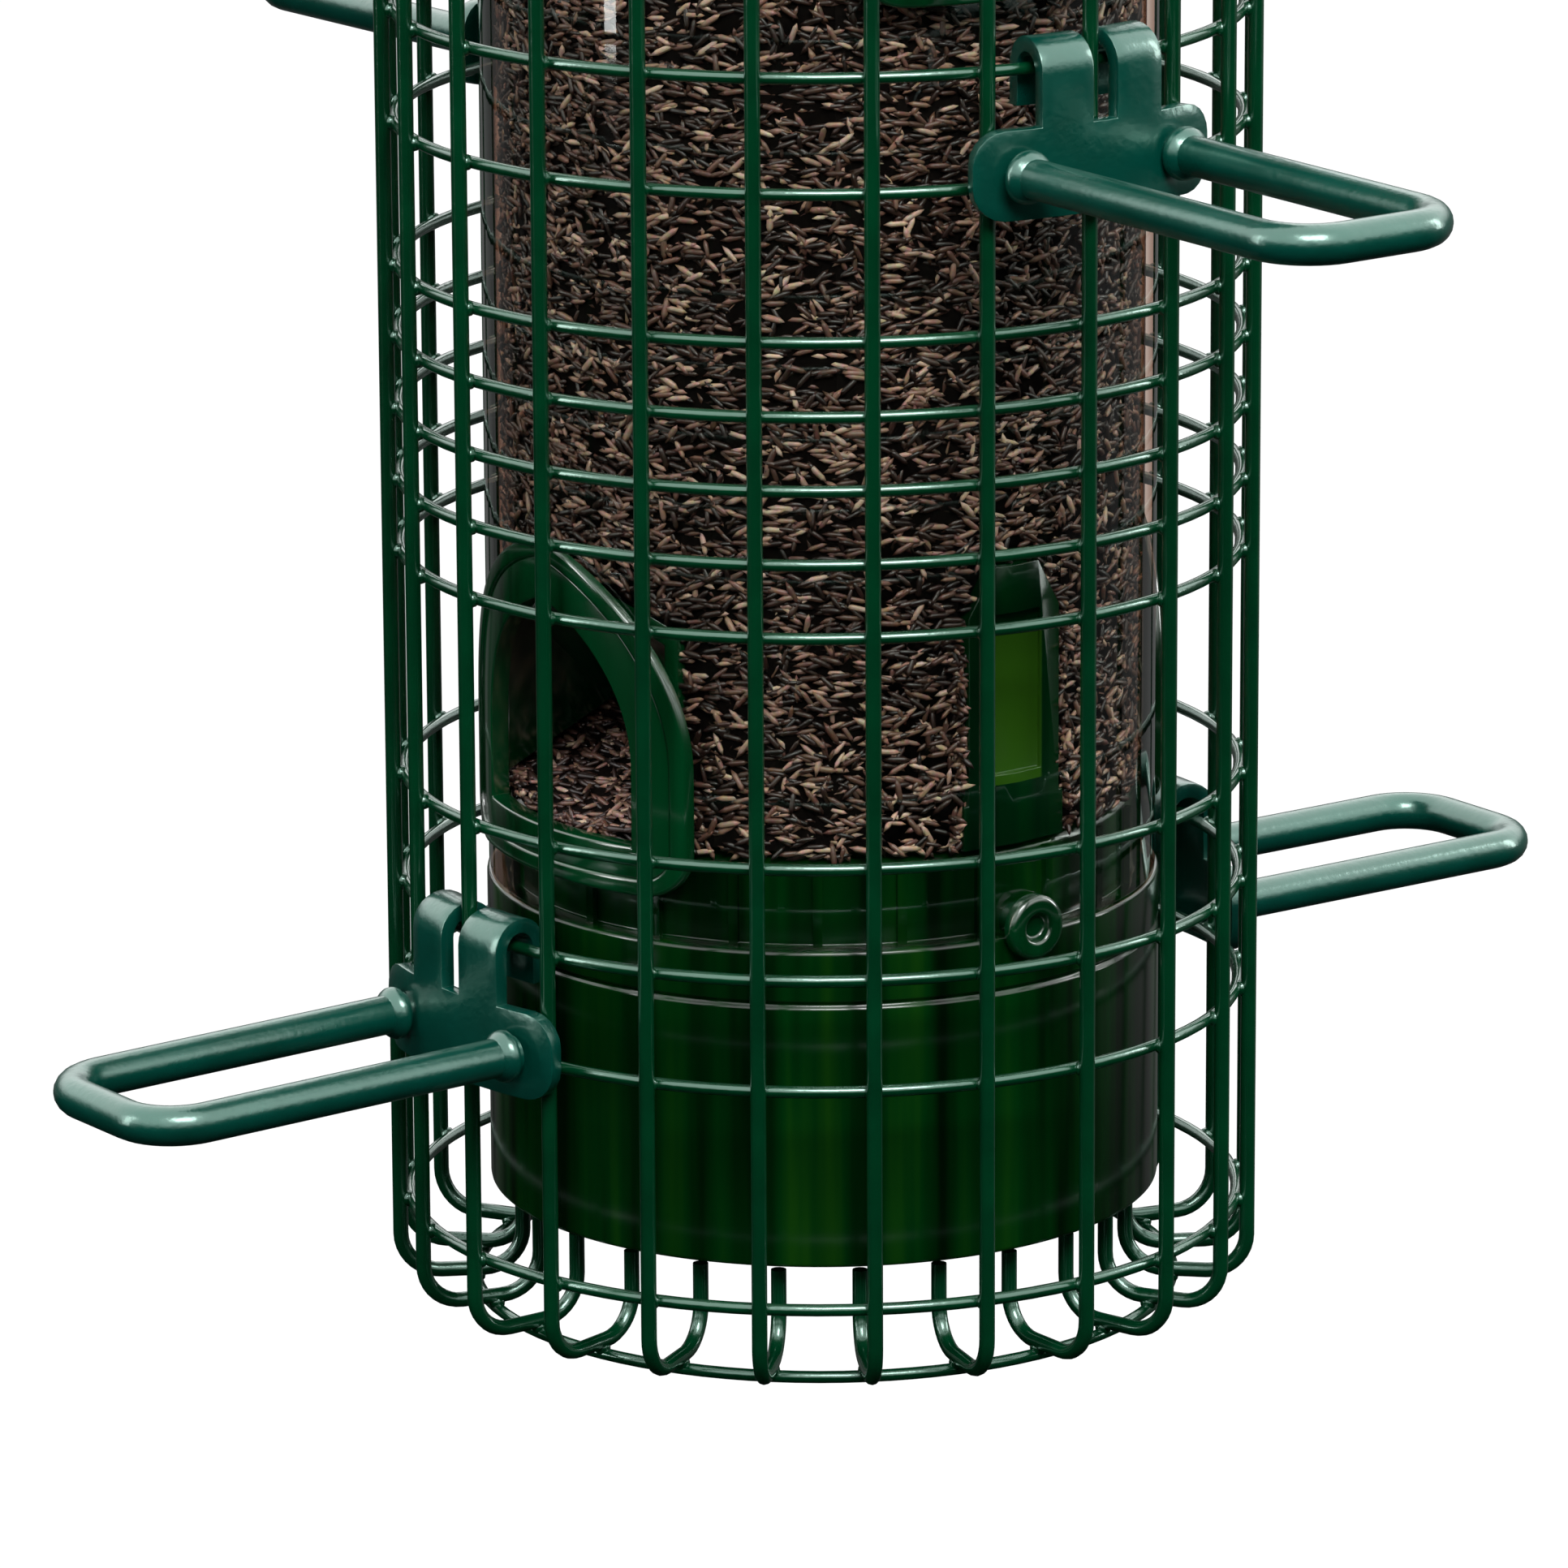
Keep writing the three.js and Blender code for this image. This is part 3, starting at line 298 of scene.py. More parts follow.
def moulded_plastic(name, shades, rough, glow_share, shine=0.5, glow_panel=None):
    """Shades run from the deepest to the palest, picked along the flow lines. An olive palest is painted
    glow.
    """
    material, add, here = new_material(name)
    drawn = add("Mapping", {"Vector": here, "Scale": (1.0, 1.0, 0.04)})
    lines = add("TexNoise", {"Vector": drawn, "Scale": per_mm(6), "Detail": 3.0})
    tint = add("ValToRGB", {"Fac": lines})
    set_stops(tint, *zip((0.36, 0.55, 0.72), shades))
    # Painted glow: inside this box the divider's panel is painted olive, for light through its thin wall.
    if glow_panel:
        half, low, top, edge = (value * MM for value in glow_panel.values())
        spot = add("SeparateXYZ", {"Vector": here})
        aside = add("Math", {0: spot.outputs["X"]}, operation="ABSOLUTE")
        within = add("MapRange", {
            "Value": aside, "From Min": half, "From Max": half + edge, "To Min": 1.0, "To Max": 0.0})
        between = add("Math", {
            0: spot.outputs["Z"], 1: (low + top) / 2, 2: (top - low) / 2}, operation="COMPARE")
        painted_glow = add("Math", {0: within, 1: between}, operation="MULTIPLY")
        tint = add("Mix", {"Factor": painted_glow, "A": tint, "B": PAINTED_GLOW_OLIVE}, data_type="RGBA")
    bump = add("Bump", {"Height": lines, "Strength": 0.25, "Distance": 0.2 * MM})
    skin = add("BsdfPrincipled", {
        "Base Color": tint, "Normal": bump, "Roughness": rough, "IOR": 1.5, "Specular IOR Level": shine})
    through = add("BsdfTranslucent", {"Color": LIGHT_THROUGH})
    mixed = add("MixShader", {"Fac": glow_share, 1: skin, 2: through})
    add("OutputMaterial", {"Surface": mixed})
    return material


# The cup's olive palest shade, #123f0a, is a painted glow of light through thin plastic, laid along the
# flow lines.
green_styrene = moulded_plastic("green styrene, moulded", ("#001003", "#002e0b", "#123f0a"), 0.16, 0.12)
frame_styrene = moulded_plastic(
    "green styrene, port frames", ("#00280f", "#003a1b", "#003f1f"), 0.16, 0.05, 1.0)
lid_styrene = moulded_plastic("green styrene, lid", ("#002f0f", "#003411", "#003913"), 0.3, 0.05, 0.25)
divider_styrene = moulded_plastic(
    "green styrene, divider", ("#00160a", "#00280f", "#003410"), 0.16, 0.1, glow_panel=GLOW_PANEL)

# %% [markdown]
# ### Clear acrylic tube
# Extruded acrylic is clear and glossy, with faint die lines. Each face reflects by Fresnel's law
# and lets the rest through, so a mix of a Transparent and a Glossy shader shows the seed sharply
# and exports with its see-through share. At the tube's edges the seed's colour, which the long
# way through the wall bends into view, is painted: the see-through colour takes a warm tint
# there, as high as the seed stands.

# %% Clear acrylic
SEED_TOP = 249.9
clear_acrylic, add, here = new_material("clear acrylic, extruded")
drawn = add("Mapping", {"Vector": here, "Scale": (1.0, 1.0, 0.01)})
die_lines = add("TexNoise", {"Vector": drawn, "Scale": per_mm(7)})
die_bump = add("Bump", {"Height": die_lines, "Strength": 0.5, "Distance": 0.25 * MM})
gloss = add("BsdfAnisotropic", {"Color": linear("#fbfffd"), "Roughness": 0.05, "Normal": die_bump})
facing = add("LayerWeight")
# Painted: toward the tube's edges, below the seed's top, the see-through colour turns warm, a painted view
# of the seed through the wall.
limb = add("MapRange", {
    "Value": facing.outputs["Facing"], "From Min": 0.55, "From Max": 0.92}, interpolation_type="SMOOTHSTEP")
height = add("SeparateXYZ", {"Vector": here}).outputs["Z"]
by_seed = add("Math", {0: height, 1: SEED_TOP * MM}, operation="LESS_THAN")
painted_seed_edge = add("Math", {0: limb, 1: by_seed}, operation="MULTIPLY")
glass_and_painted_seed = add("Mix", {
    "Factor": painted_seed_edge, "A": linear("#f8fbf9"), "B": linear("#c3a494")}, data_type="RGBA")
clear = add("BsdfTransparent", {"Color": glass_and_painted_seed})
edge = add("Fresnel", {"IOR": 1.49, "Normal": die_bump})
side = add("NewGeometry")
entering = add("Math", {0: 1.0, 1: side.outputs["Backfacing"]}, operation="SUBTRACT")
share = add("Math", {0: edge, 1: entering}, operation="MULTIPLY")
wall = add("MixShader", {"Fac": share, 1: clear, 2: gloss})
add("OutputMaterial", {"Surface": wall})

# %% [markdown]
# ### Seed husks
# Dry husks are brown to straw with a faint waxy shine. Every grain carries a "tone" value from 0
# to 1, so neighbours differ, and a streak runs along each grain. Between them a core is painted
# nearly black: painted shade.

# %% Seed husk, and the painted shade between
seed_husk, add, here = new_material("seed husk, dry")
tone = add("Attribute", attribute_name="tone")
shades = add("ValToRGB", {"Fac": tone.outputs["Fac"]})
set_stops(shades, (0.0, "#140a07"), (0.45, "#33201a"), (0.72, "#6a4a3e"), (0.9, "#a5806e"),
          (1.0, "#cfae99"))
streak = add("TexNoise", {"Vector": here, "Scale": per_mm(0.7)})
shaded = add("Mix", {
    "Factor": 0.5, "A": shades, "B": streak.outputs["Color"]}, data_type="RGBA", blend_type="OVERLAY")
husk_skin = add("BsdfPrincipled", {"Base Color": shaded, "Roughness": 0.42, "IOR": 1.45})
add("OutputMaterial", {"Surface": husk_skin})

# Painted shade: the core under the grains is painted nearly black, for the shade deep among the seed.
painted_shade_core, add, here = new_material("seed packed in shade")
crumbs = add("TexVoronoi", {"Vector": here, "Scale": per_mm(1.6)})
painted_shade_tint = add("Mix", {
    "Factor": crumbs, "A": linear("#0c0705"), "B": linear("#050303")}, data_type="RGBA")
shade = add("BsdfPrincipled", {"Base Color": painted_shade_tint, "Roughness": 0.9, "Specular IOR Level": 0.05})
add("OutputMaterial", {"Surface": shade})

# %% [markdown]
# ### Metals, nylon and rubber
# The bridge, yoke, rod and screws are zinc plated: pale, slightly cloudy and softly bright. The
# spring is drawn bright. The bush is nylon and the grommet is rubber, both dull and dark.

# %% Small finishes
def fine_finish(name, deep, pale, cloud, grit, **values):
    return clouded(name, deep, pale, (cloud, 4.0), (grit, 0.2, 0.05), values)


zinc_plate = fine_finish("steel, zinc plated", "#707276", "#9a9ca0", 6, 0.8, Metallic=1.0, Roughness=0.32)
drawn_wire = fine_finish(
    "spring wire, bright drawn", "#66686c", "#929498", 3, 0.5, Metallic=1.0, Roughness=0.22)
dark_nylon = fine_finish("nylon, moulded black", "#15181a", "#22272a", 4, 0.6, Roughness=0.5)
dark_rubber = fine_finish("rubber, moulded", "#101312", "#1d2120", 3, 0.5, Roughness=0.75)
print("materials made:", len(bpy.data.materials))

# %% [markdown]
# ## Making pieces
# Most rigid pieces are skins over loops of points: a section turned about the axis or led along
# a path. Sections are drawn in millimetres with sharp corners, and one function rounds them,
# because no moulded or pressed edge is truly sharp.

# %% Loops, skins and rounding
def rounded(outline, radius, steps=3):
    """Rounds the corners of a closed outline. A corner may carry its own radius as a third value."""
    made = []
    for index, corner in enumerate(outline):
        here = Vector(corner[:2])
        own = corner[2] if len(corner) > 2 else radius
        before = Vector(outline[index - 1][:2]) - here
        after = Vector(outline[(index + 1) % len(outline)][:2]) - here
        reach = min(own, before.length * 0.45, after.length * 0.45)
        if reach <= 0 or here.x == 0:
            made.append(here)
            continue
        start, end = here + before.normalized() * reach, here + after.normalized() * reach
        for step in range(steps + 1):
            t = step / steps
            made.append(start * (1 - t) ** 2 + here * 2 * t * (1 - t) + end * t ** 2)
    return made


def piece_from(name, points, faces):
    mesh = bpy.data.meshes.new(name)
    mesh.from_pydata([Vector(point) * MM for point in points], [], faces)
    shape = bmesh.new()
    shape.from_mesh(mesh)
    bmesh.ops.remove_doubles(shape, verts=shape.verts, dist=0.002 * MM)
    bmesh.ops.dissolve_degenerate(shape, edges=shape.edges, dist=0.002 * MM)
    bmesh.ops.recalc_face_normals(shape, faces=shape.faces)
    shape.to_mesh(mesh)
    shape.free()
    return placed(name, mesh)


def skin(name, loops, ring=False):
    """Skins closed loops with the same number of points, and caps the ends of an open row."""
    count = len(loops[0])
    points = [point for loop in loops for point in loop]
    faces = []
    for row in range(len(loops) if ring else len(loops) - 1):
        near, far = row * count, (row + 1) % len(loops) * count
        for k in range(count):
            n = (k + 1) % count
            faces.append((near + k, near + n, far + n, far + k))
    if not ring:
        faces += [tuple(range(count)), tuple(range(len(points) - count, len(points)))]
    return piece_from(name, points, faces)


def around(steps):
    return [2 * math.pi * step / steps for step in range(steps)]


def turned(name, outline, steps=128, radius=0.5):
    section = rounded(outline, radius)
    return skin(name, [[(p.x * math.cos(angle), p.x * math.sin(angle), p.y) for p in section]
                       for angle in around(steps)], ring=True)


def joined(name, pieces):
    whole = bmesh.new()
    for piece in pieces:
        whole.from_mesh(piece.data)
        bpy.data.objects.remove(piece)
    mesh = bpy.data.meshes.new(name)
    whole.to_mesh(mesh)
    whole.free()
    return placed(name, mesh)


# %% [markdown]
# ## Where pieces go, and how they are finished
# The four ports look out to -X and +X below and to -Y and +Y above. A piece is made facing +X at
# the lower level and then turned and lifted in its mesh. Modifiers are turned into plain mesh
# before a piece is tied to its body.

# %% Places and finishing
LEVEL_PITCH = 130.9
places = {
    "lower_left": (math.pi, 0),
    "lower_right": (0.0, 0),
    "upper_front": (-math.pi / 2, LEVEL_PITCH),
    "upper_back": (math.pi / 2, LEVEL_PITCH),
}


def set_to(turn, lift=0.0):
    return Matrix.Translation((0, 0, lift * MM)) @ Matrix.Rotation(turn, 4, "Z")


def bake(piece):
    """Turns what the modifiers make into the piece's own plain mesh."""
    view = bpy.context.evaluated_depsgraph_get()
    made = bpy.data.meshes.new_from_object(
        piece.evaluated_get(view), preserve_all_data_layers=True, depsgraph=view)
    piece.modifiers.clear()
    piece.data = made


def soften_edges(piece, width, angle):
    bevel = piece.modifiers.new("soft edges", "BEVEL")
    bevel.segments = 2
    bevel.width, bevel.angle_limit = width * MM, math.radians(angle)


def finish_piece(piece, material, nodes, body="feeder_body", crease=38):
    if piece.modifiers:
        bake(piece)
    piece.data.materials.clear()
    piece.data.materials.append(material)
    piece.data.polygons.foreach_set("use_smooth", [True] * len(piece.data.polygons))
    piece.data.set_sharp_from_angle(angle=math.radians(crease))
    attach(piece, body)
    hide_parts(*nodes)
    print(piece.name, "faces:", len(piece.data.polygons))


def four_copies(pattern, kind, material, body="feeder_body"):
    """One copy at each port. In a body's name, {} is filled in with the place."""
    if pattern.modifiers:
        bake(pattern)
    for place, (turn, lift) in places.items():
        copy = placed(f"{kind}_{place}_shown", pattern.data.copy())
        copy.data.transform(set_to(turn, lift))
        finish_piece(copy, material, [f"{kind}_{place}"], body.format(place))
    bpy.data.objects.remove(pattern)


# %% [markdown]
# ## Geometry Nodes trees
# What follows a path or repeats is grown by a tree of nodes. One helper starts a tree with its
# named inputs, and another hangs it on a piece and sets them by the sockets' identifiers.

# %% Tree helpers
def start_tree(name, **kinds):
    """A tree with named inputs, the call that adds nodes to it, and the inputs' sockets."""
    tree = bpy.data.node_groups.new(name, "GeometryNodeTree")
    tree.interface.new_socket("Geometry", in_out="OUTPUT", socket_type="NodeSocketGeometry")
    for label, kind in {"Geometry": "Geometry", **kinds, "Material": "Material"}.items():
        tree.interface.new_socket(label.replace("_", " "), in_out="INPUT", socket_type="NodeSocket" + kind)
    add = partial(add_node, tree)
    return tree, add, add("GroupInput").outputs


def end_tree(add, geometry, material):
    real = add("RealizeInstances", {"Geometry": geometry})
    smooth = add("SetShadeSmooth", {"Geometry": real})
    coated = add("SetMaterial", {"Geometry": smooth, "Material": material})
    add("GroupOutput", {"Geometry": coated})


def grow(piece, tree, **values):
    modifier = piece.modifiers.new(tree.name, "NODES")
    modifier.node_group = tree
    for item in tree.interface.items_tree:
        label = item.name.replace(" ", "_")
        if item.in_out == "INPUT" and label in values:
            modifier[item.identifier] = values[label]
    bake(piece)


def line_piece(name, points, loose=0):
    """Points joined in a row, apart from the loose ones at the end."""
    edges = [(k, k + 1) for k in range(len(points) - loose - 1)]
    mesh = bpy.data.meshes.new(name)
    mesh.from_pydata([Vector(point) * MM for point in points], edges, [])
    return placed(name, mesh)


# %% [markdown]
# ### A wire along a path
# Rod, spring, perches and cage are all round wire bent to a path. The path's edges become a
# curve, its corners are rounded, and a circle is led along it.

# %% Bent wire tree
def bent_wire(add, mesh, steps, bend, sides, radius):
    route = add("MeshToCurve", {"Mesh": mesh})
    eased = add("FilletCurve", {
        "Curve": route, "Count": steps, "Radius": bend, "Limit Radius": True}, mode="POLY")
    section = add("CurvePrimitiveCircle", {"Resolution": sides, "Radius": radius})
    return add("CurveToMesh", {"Curve": eased, "Profile Curve": section, "Fill Caps": True})


wire_tree, add, wire_in = start_tree(
    "bent wire", Wire_Radius="Float", Bend_Radius="Float", Bend_Steps="Int", Sides="Int")
wire = bent_wire(add, wire_in["Geometry"], wire_in["Bend Steps"], wire_in["Bend Radius"],
                 wire_in["Sides"], wire_in["Wire Radius"])
end_tree(add, wire, wire_in["Material"])

# %% [markdown]
# ## The cage
# 24 upright wires are bent in under the cage and end in short legs, and rings are welded inside
# them. The tree is fed one wire's path, drawn as edges, and one loose point for each ring, on
# the axis, with the ring's sizes. It copies the wire round the axis, draws each ring, and sets a
# bead of weld wherever a ring meets a wire.

# %% Cage sizes and path
WIRE_COUNT, WIRE_RADIUS, RING_WIRE_RADIUS = 24, 1.15, 0.9
PRESSED_IN = 0.1
WIRE_AXIS = 65 - WIRE_RADIUS
RING_AXIS = WIRE_AXIS - WIRE_RADIUS - RING_WIRE_RADIUS + PRESSED_IN
FOOT_HEIGHT = 2 * RING_WIRE_RADIUS + WIRE_RADIUS - PRESSED_IN
FOOT_BEND, INNER_LEG = 6, 45.5
FOOT_RING = INNER_LEG + FOOT_BEND + RING_WIRE_RADIUS
HOOK_RING, RUNG_PITCH, FEEDING_GAP, GUARD_PITCH = 63.5, 16.5, 33.9, 10.7
TOP_RING = HOOK_RING + 2 * LEVEL_PITCH - RUNG_PITCH
LEG_RING, LEG_TOP, WIRE_PAST = 14.2, 15, 2.2
WELD_RADIUS, WELD_OUT, WELD_UP = 1.25, 0.85, 0.9

ring_heights = [LEG_RING, TOP_RING]
for lift in (0, LEVEL_PITCH):
    ring_heights += [HOOK_RING + lift + step * RUNG_PITCH for step in (-1, 0, 1)]
    ring_heights += [HOOK_RING + lift + RUNG_PITCH + FEEDING_GAP + step * GUARD_PITCH for step in range(5)]

wire_path = [(WIRE_AXIS, 0, TOP_RING + WIRE_PAST), (WIRE_AXIS, 0, FOOT_HEIGHT),
             (INNER_LEG, 0, FOOT_HEIGHT), (INNER_LEG, 0, LEG_TOP)]
rings = [(height, RING_AXIS, RING_AXIS + WELD_OUT, 0) for height in ring_heights]
rings += [(RING_WIRE_RADIUS, FOOT_RING, FOOT_RING, WELD_UP)]
cage = line_piece("wire_cage_shown", wire_path + [(0, 0, ring[0]) for ring in rings], len(rings))
for column, label in enumerate(("ring_radius", "weld_circle", "weld_lift"), 1):
    sizes = cage.data.attributes.new(label, "FLOAT", "POINT").data
    for index, ring in enumerate(rings, len(wire_path)):
        sizes[index].value = ring[column] * MM
print("rings in the cage:", len(rings))

# %% Cage tree
cage_tree, add, cage_in = start_tree("welded wire cage", Wires="Int", Wire_Radius="Float",
                                     Bend_Radius="Float", Ring_Wire_Radius="Float", Weld_Radius="Float")
one_wire = bent_wire(add, cage_in["Geometry"], 9, cage_in["Bend Radius"], 12, cage_in["Wire Radius"])
stations = add("Points", {"Count": cage_in["Wires"]})
number = add("InputIndex")
wire_step = add("Math", {0: 2 * math.pi, 1: cage_in["Wires"]}, operation="DIVIDE")
wire_angle = add("Math", {0: number, 1: wire_step}, operation="MULTIPLY")
wire_spin = add("CombineXYZ", {"Z": wire_angle})
uprights = add("InstanceOnPoints", {"Points": stations, "Instance": one_wire, "Rotation": wire_spin})

neighbours = add("InputMeshVertexNeighbors")
is_loose = add("Compare", {2: neighbours.outputs["Vertex Count"], 3: 0}, data_type="INT", operation="EQUAL")
ring_marks = add("SeparateGeometry", {"Geometry": cage_in["Geometry"], "Selection": is_loose})
own = {label: add("InputNamedAttribute", {"Name": label})
       for label in ("ring_radius", "weld_circle", "weld_lift")}
unit_ring = add("CurvePrimitiveCircle", {"Resolution": 96, "Radius": 1.0})
drawn_rings = add("InstanceOnPoints", {
    "Points": ring_marks, "Instance": unit_ring, "Scale": own["ring_radius"]})
real_rings = add("RealizeInstances", {"Geometry": drawn_rings})
ring_section = add("CurvePrimitiveCircle", {"Resolution": 10, "Radius": cage_in["Ring Wire Radius"]})
ring_wires = add("CurveToMesh", {"Curve": real_rings, "Profile Curve": ring_section})

weld_lift = add("CombineXYZ", {"Z": own["weld_lift"]})
weld_centres = add("SetPosition", {"Geometry": ring_marks, "Offset": weld_lift})
wire_circle = add("MeshCircle", {"Vertices": cage_in["Wires"], "Radius": 1.0})
weld_rows = add("InstanceOnPoints", {
    "Points": weld_centres, "Instance": wire_circle, "Scale": own["weld_circle"]})
real_rows = add("RealizeInstances", {"Geometry": weld_rows})
bead = add("MeshIcoSphere", {"Radius": cage_in["Weld Radius"], "Subdivisions": 2})
welds = add("InstanceOnPoints", {"Points": real_rows, "Instance": bead})
welded = add("JoinGeometry")
for part in (uprights, ring_wires, welds):
    cage_tree.links.new(part.outputs[0], welded.inputs[0])
end_tree(add, welded, cage_in["Material"])

# %% Grow the cage
grow(cage, cage_tree, Wires=WIRE_COUNT, Wire_Radius=WIRE_RADIUS * MM, Bend_Radius=FOOT_BEND * MM,
     Ring_Wire_Radius=RING_WIRE_RADIUS * MM, Weld_Radius=WELD_RADIUS * MM, Material=cage_enamel)
panels = [node for node in frame["nodes"] if node.startswith("cage") and node != "cage_yoke"]
finish_piece(cage, cage_enamel, panels, "shroud", crease=60)

# %% [markdown]
# ## The perches
# Each bracket is one pressing: a curved plate with two strips that hook over a ring. It is
# modelled as a thin sheet of squares, rows of which run up the plate and over the hooks, then
# thickened. Each bar is a bent rod with a bead of weld at its roots.

# %% Bracket sheet
PLATE_MID = 66.4
PLATE_THICKNESS = 2.2
PLATE_LOW, PLATE_HIGH = 43.1, 56.0
PLATE_HALF = 21.0
PLATE_CORNER = 5.0
HOOK_CENTRE, HOOK_CENTRE_HEIGHT, HOOK_MID = 62.64, 63.36, 3.76
HOOK_TIP = 57.8
STRIP_NEAR, STRIP_FAR = 2.1, 10.5
PLATE_ROWS, STRIP_COLUMNS, SIDE_COLUMNS = 6, 4, 8


def bracket_pattern():
    """The sheet as rows of (radius, height), and columns by how far round they are."""
    half = [STRIP_NEAR + (STRIP_FAR - STRIP_NEAR) * step / STRIP_COLUMNS
            for step in range(STRIP_COLUMNS + 1)]
    half += [STRIP_FAR + (PLATE_HALF - STRIP_FAR) * (1 - (1 - step / SIDE_COLUMNS) ** 1.7)
             for step in range(1, SIDE_COLUMNS + 1)]
    columns = [-value for value in reversed(half)] + [0.0] + half
    hook = [(HOOK_CENTRE + HOOK_MID * math.cos(angle), HOOK_CENTRE_HEIGHT + HOOK_MID * math.sin(angle))
            for angle in (math.pi * step / 12 for step in range(13))]
    rise = [(PLATE_MID, PLATE_HIGH + (HOOK_CENTRE_HEIGHT - PLATE_HIGH) * step / 3) for step in (1, 2)]
    strip_rows = rise + hook + [(HOOK_CENTRE - HOOK_MID, HOOK_TIP)]
    points, index = [], {}

    def plate_height(column, share):
        inset = max(0.0, abs(columns[column]) - (PLATE_HALF - PLATE_CORNER))
        trim = PLATE_CORNER - math.sqrt(max(PLATE_CORNER ** 2 - inset ** 2, 0.0))
        low, high = PLATE_LOW + trim, PLATE_HIGH - trim
        return low + (high - low) * share

    def corner(column, row):
        if (column, row) not in index:
            index[column, row] = len(points)
            radius, height = PLATE_MID, plate_height(column, min(row / PLATE_ROWS, 1.0))
            if row > PLATE_ROWS:
                radius, height = strip_rows[row - PLATE_ROWS - 1]
            angle = columns[column] / PLATE_MID
            points.append((radius * math.cos(angle), radius * math.sin(angle), height))
        return index[column, row]

    faces = []
    for column in range(len(columns) - 1):
        middle = abs(columns[column] + columns[column + 1]) / 2
        rows = PLATE_ROWS + (len(strip_rows) if STRIP_NEAR < middle < STRIP_FAR else 0)
        for row in range(rows):
            square = (column, row), (column + 1, row), (column + 1, row + 1), (column, row + 1)
            faces.append([corner(*place) for place in square])
    return points, faces


bracket = piece_from("bracket pattern", *bracket_pattern())
thicken = bracket.modifiers.new("sheet thickness", "SOLIDIFY")
thicken.thickness = PLATE_THICKNESS * MM
thicken.offset = 0
thicken.use_even_offset = True
soften_edges(bracket, 0.4, 50)
four_copies(bracket, "perch_bracket", perch_enamel, "perch_{}")

# %% Perch bars
BAR_RADIUS, BAR_HALF, BAR_BEND = 2.9, 14.0, 8
BAR_ROOT, BAR_REACH, BAR_HEIGHT = 66.2, 126.98, 49.55
BAR_DROOP = math.radians(0.5)
bar_path = [(BAR_ROOT, BAR_HALF, 0), (BAR_REACH, BAR_HALF, 0),
            (BAR_REACH, -BAR_HALF, 0), (BAR_ROOT, -BAR_HALF, 0)]
bar = line_piece("bar pattern", bar_path)
grow(bar, wire_tree, Wire_Radius=BAR_RADIUS * MM, Bend_Radius=BAR_BEND * MM, Bend_Steps=10, Sides=20,
     Material=perch_enamel)
UPRIGHT_TO_OUTWARD = Matrix.Rotation(math.pi / 2, 4, "Y")


def weld_collar(across):
    """A bead of weld, turned about the bar's own axis and laid along it."""
    collar = turned("collar", [(0, 0.9), (3.9, 0.9, 0.8), (3.9, 2.2, 1.2), (2.75, 3.6, 0.5), (0, 3.6)], 24)
    collar.data.transform(Matrix.Translation((BAR_ROOT * MM, across * MM, 0)) @ UPRIGHT_TO_OUTWARD)
    return collar


bar = joined("bar pattern", [bar, weld_collar(BAR_HALF), weld_collar(-BAR_HALF)])
tilt = (Matrix.Translation((BAR_ROOT * MM, 0, BAR_HEIGHT * MM)) @ Matrix.Rotation(BAR_DROOP, 4, "Y")
        @ Matrix.Translation((-BAR_ROOT * MM, 0, 0)))
bar.data.transform(tilt)
four_copies(bar, "perch_bar", perch_enamel, "perch_{}")

# %% [markdown]
# ## The port frames
# Each port is a blunt arch: a thin plate with a raised rim round its edge, and a sleeve that
# lines the tube's hole. Its arcs have the same centres at every width, so one section is led
# round the opening, and each of its corners follows an outline of its own.

# %% Arch
ARC_OFFSET = 5.5
SPRING_HEIGHT = 90.0
OPENING_HALF, SLEEVE_HALF, FRAME_HALF = 17.5, 19.5, 26.2
FOOT_LINES = ((17.5, 78.2, 0.3), (19.5, 76.2, 0.5), (23.7, 73.5, 4.5), (26.2, 71.0, 7.0))


def foot_of(half_width):
    """The height of the foot and the radius of its corners, for an outline of this half width."""
    pairs = list(zip(FOOT_LINES, FOOT_LINES[1:]))
    low, high = next((pair for pair in pairs if half_width <= pair[1][0]), pairs[-1])
    part = (half_width - low[0]) / (high[0] - low[0])
    return [low[k] + (high[k] - low[k]) * part for k in (1, 2)]


FOOT_SHARE, CORNER_SHARE, SIDE_SHARE = 0.2, 0.35, 0.45


def arch_point(half_width, share):
    """A point on the outline: share 0 is the middle of the foot, 1 the top, 2 the foot again."""
    side = 1 if share <= 1 else -1
    along = share if share <= 1 else 2 - share
    foot, corner = foot_of(half_width)
    if along < FOOT_SHARE:
        return side * (half_width - corner) * along / FOOT_SHARE, foot
    if along < CORNER_SHARE:
        angle = math.pi / 2 * (along - FOOT_SHARE) / (CORNER_SHARE - FOOT_SHARE)
        return (side * (half_width - corner + corner * math.sin(angle)),
                foot + corner * (1 - math.cos(angle)))
    if along < SIDE_SHARE:
        part = (along - CORNER_SHARE) / (SIDE_SHARE - CORNER_SHARE)
        return side * half_width, foot + corner + (SPRING_HEIGHT - foot - corner) * part
    radius = half_width + ARC_OFFSET
    angle = math.acos(ARC_OFFSET / radius) * (along - SIDE_SHARE) / (1 - SIDE_SHARE)
    return side * (radius * math.cos(angle) - ARC_OFFSET), SPRING_HEIGHT + radius * math.sin(angle)


def on_tube(across, height, radius):
    return math.sqrt(radius ** 2 - across ** 2), across, height


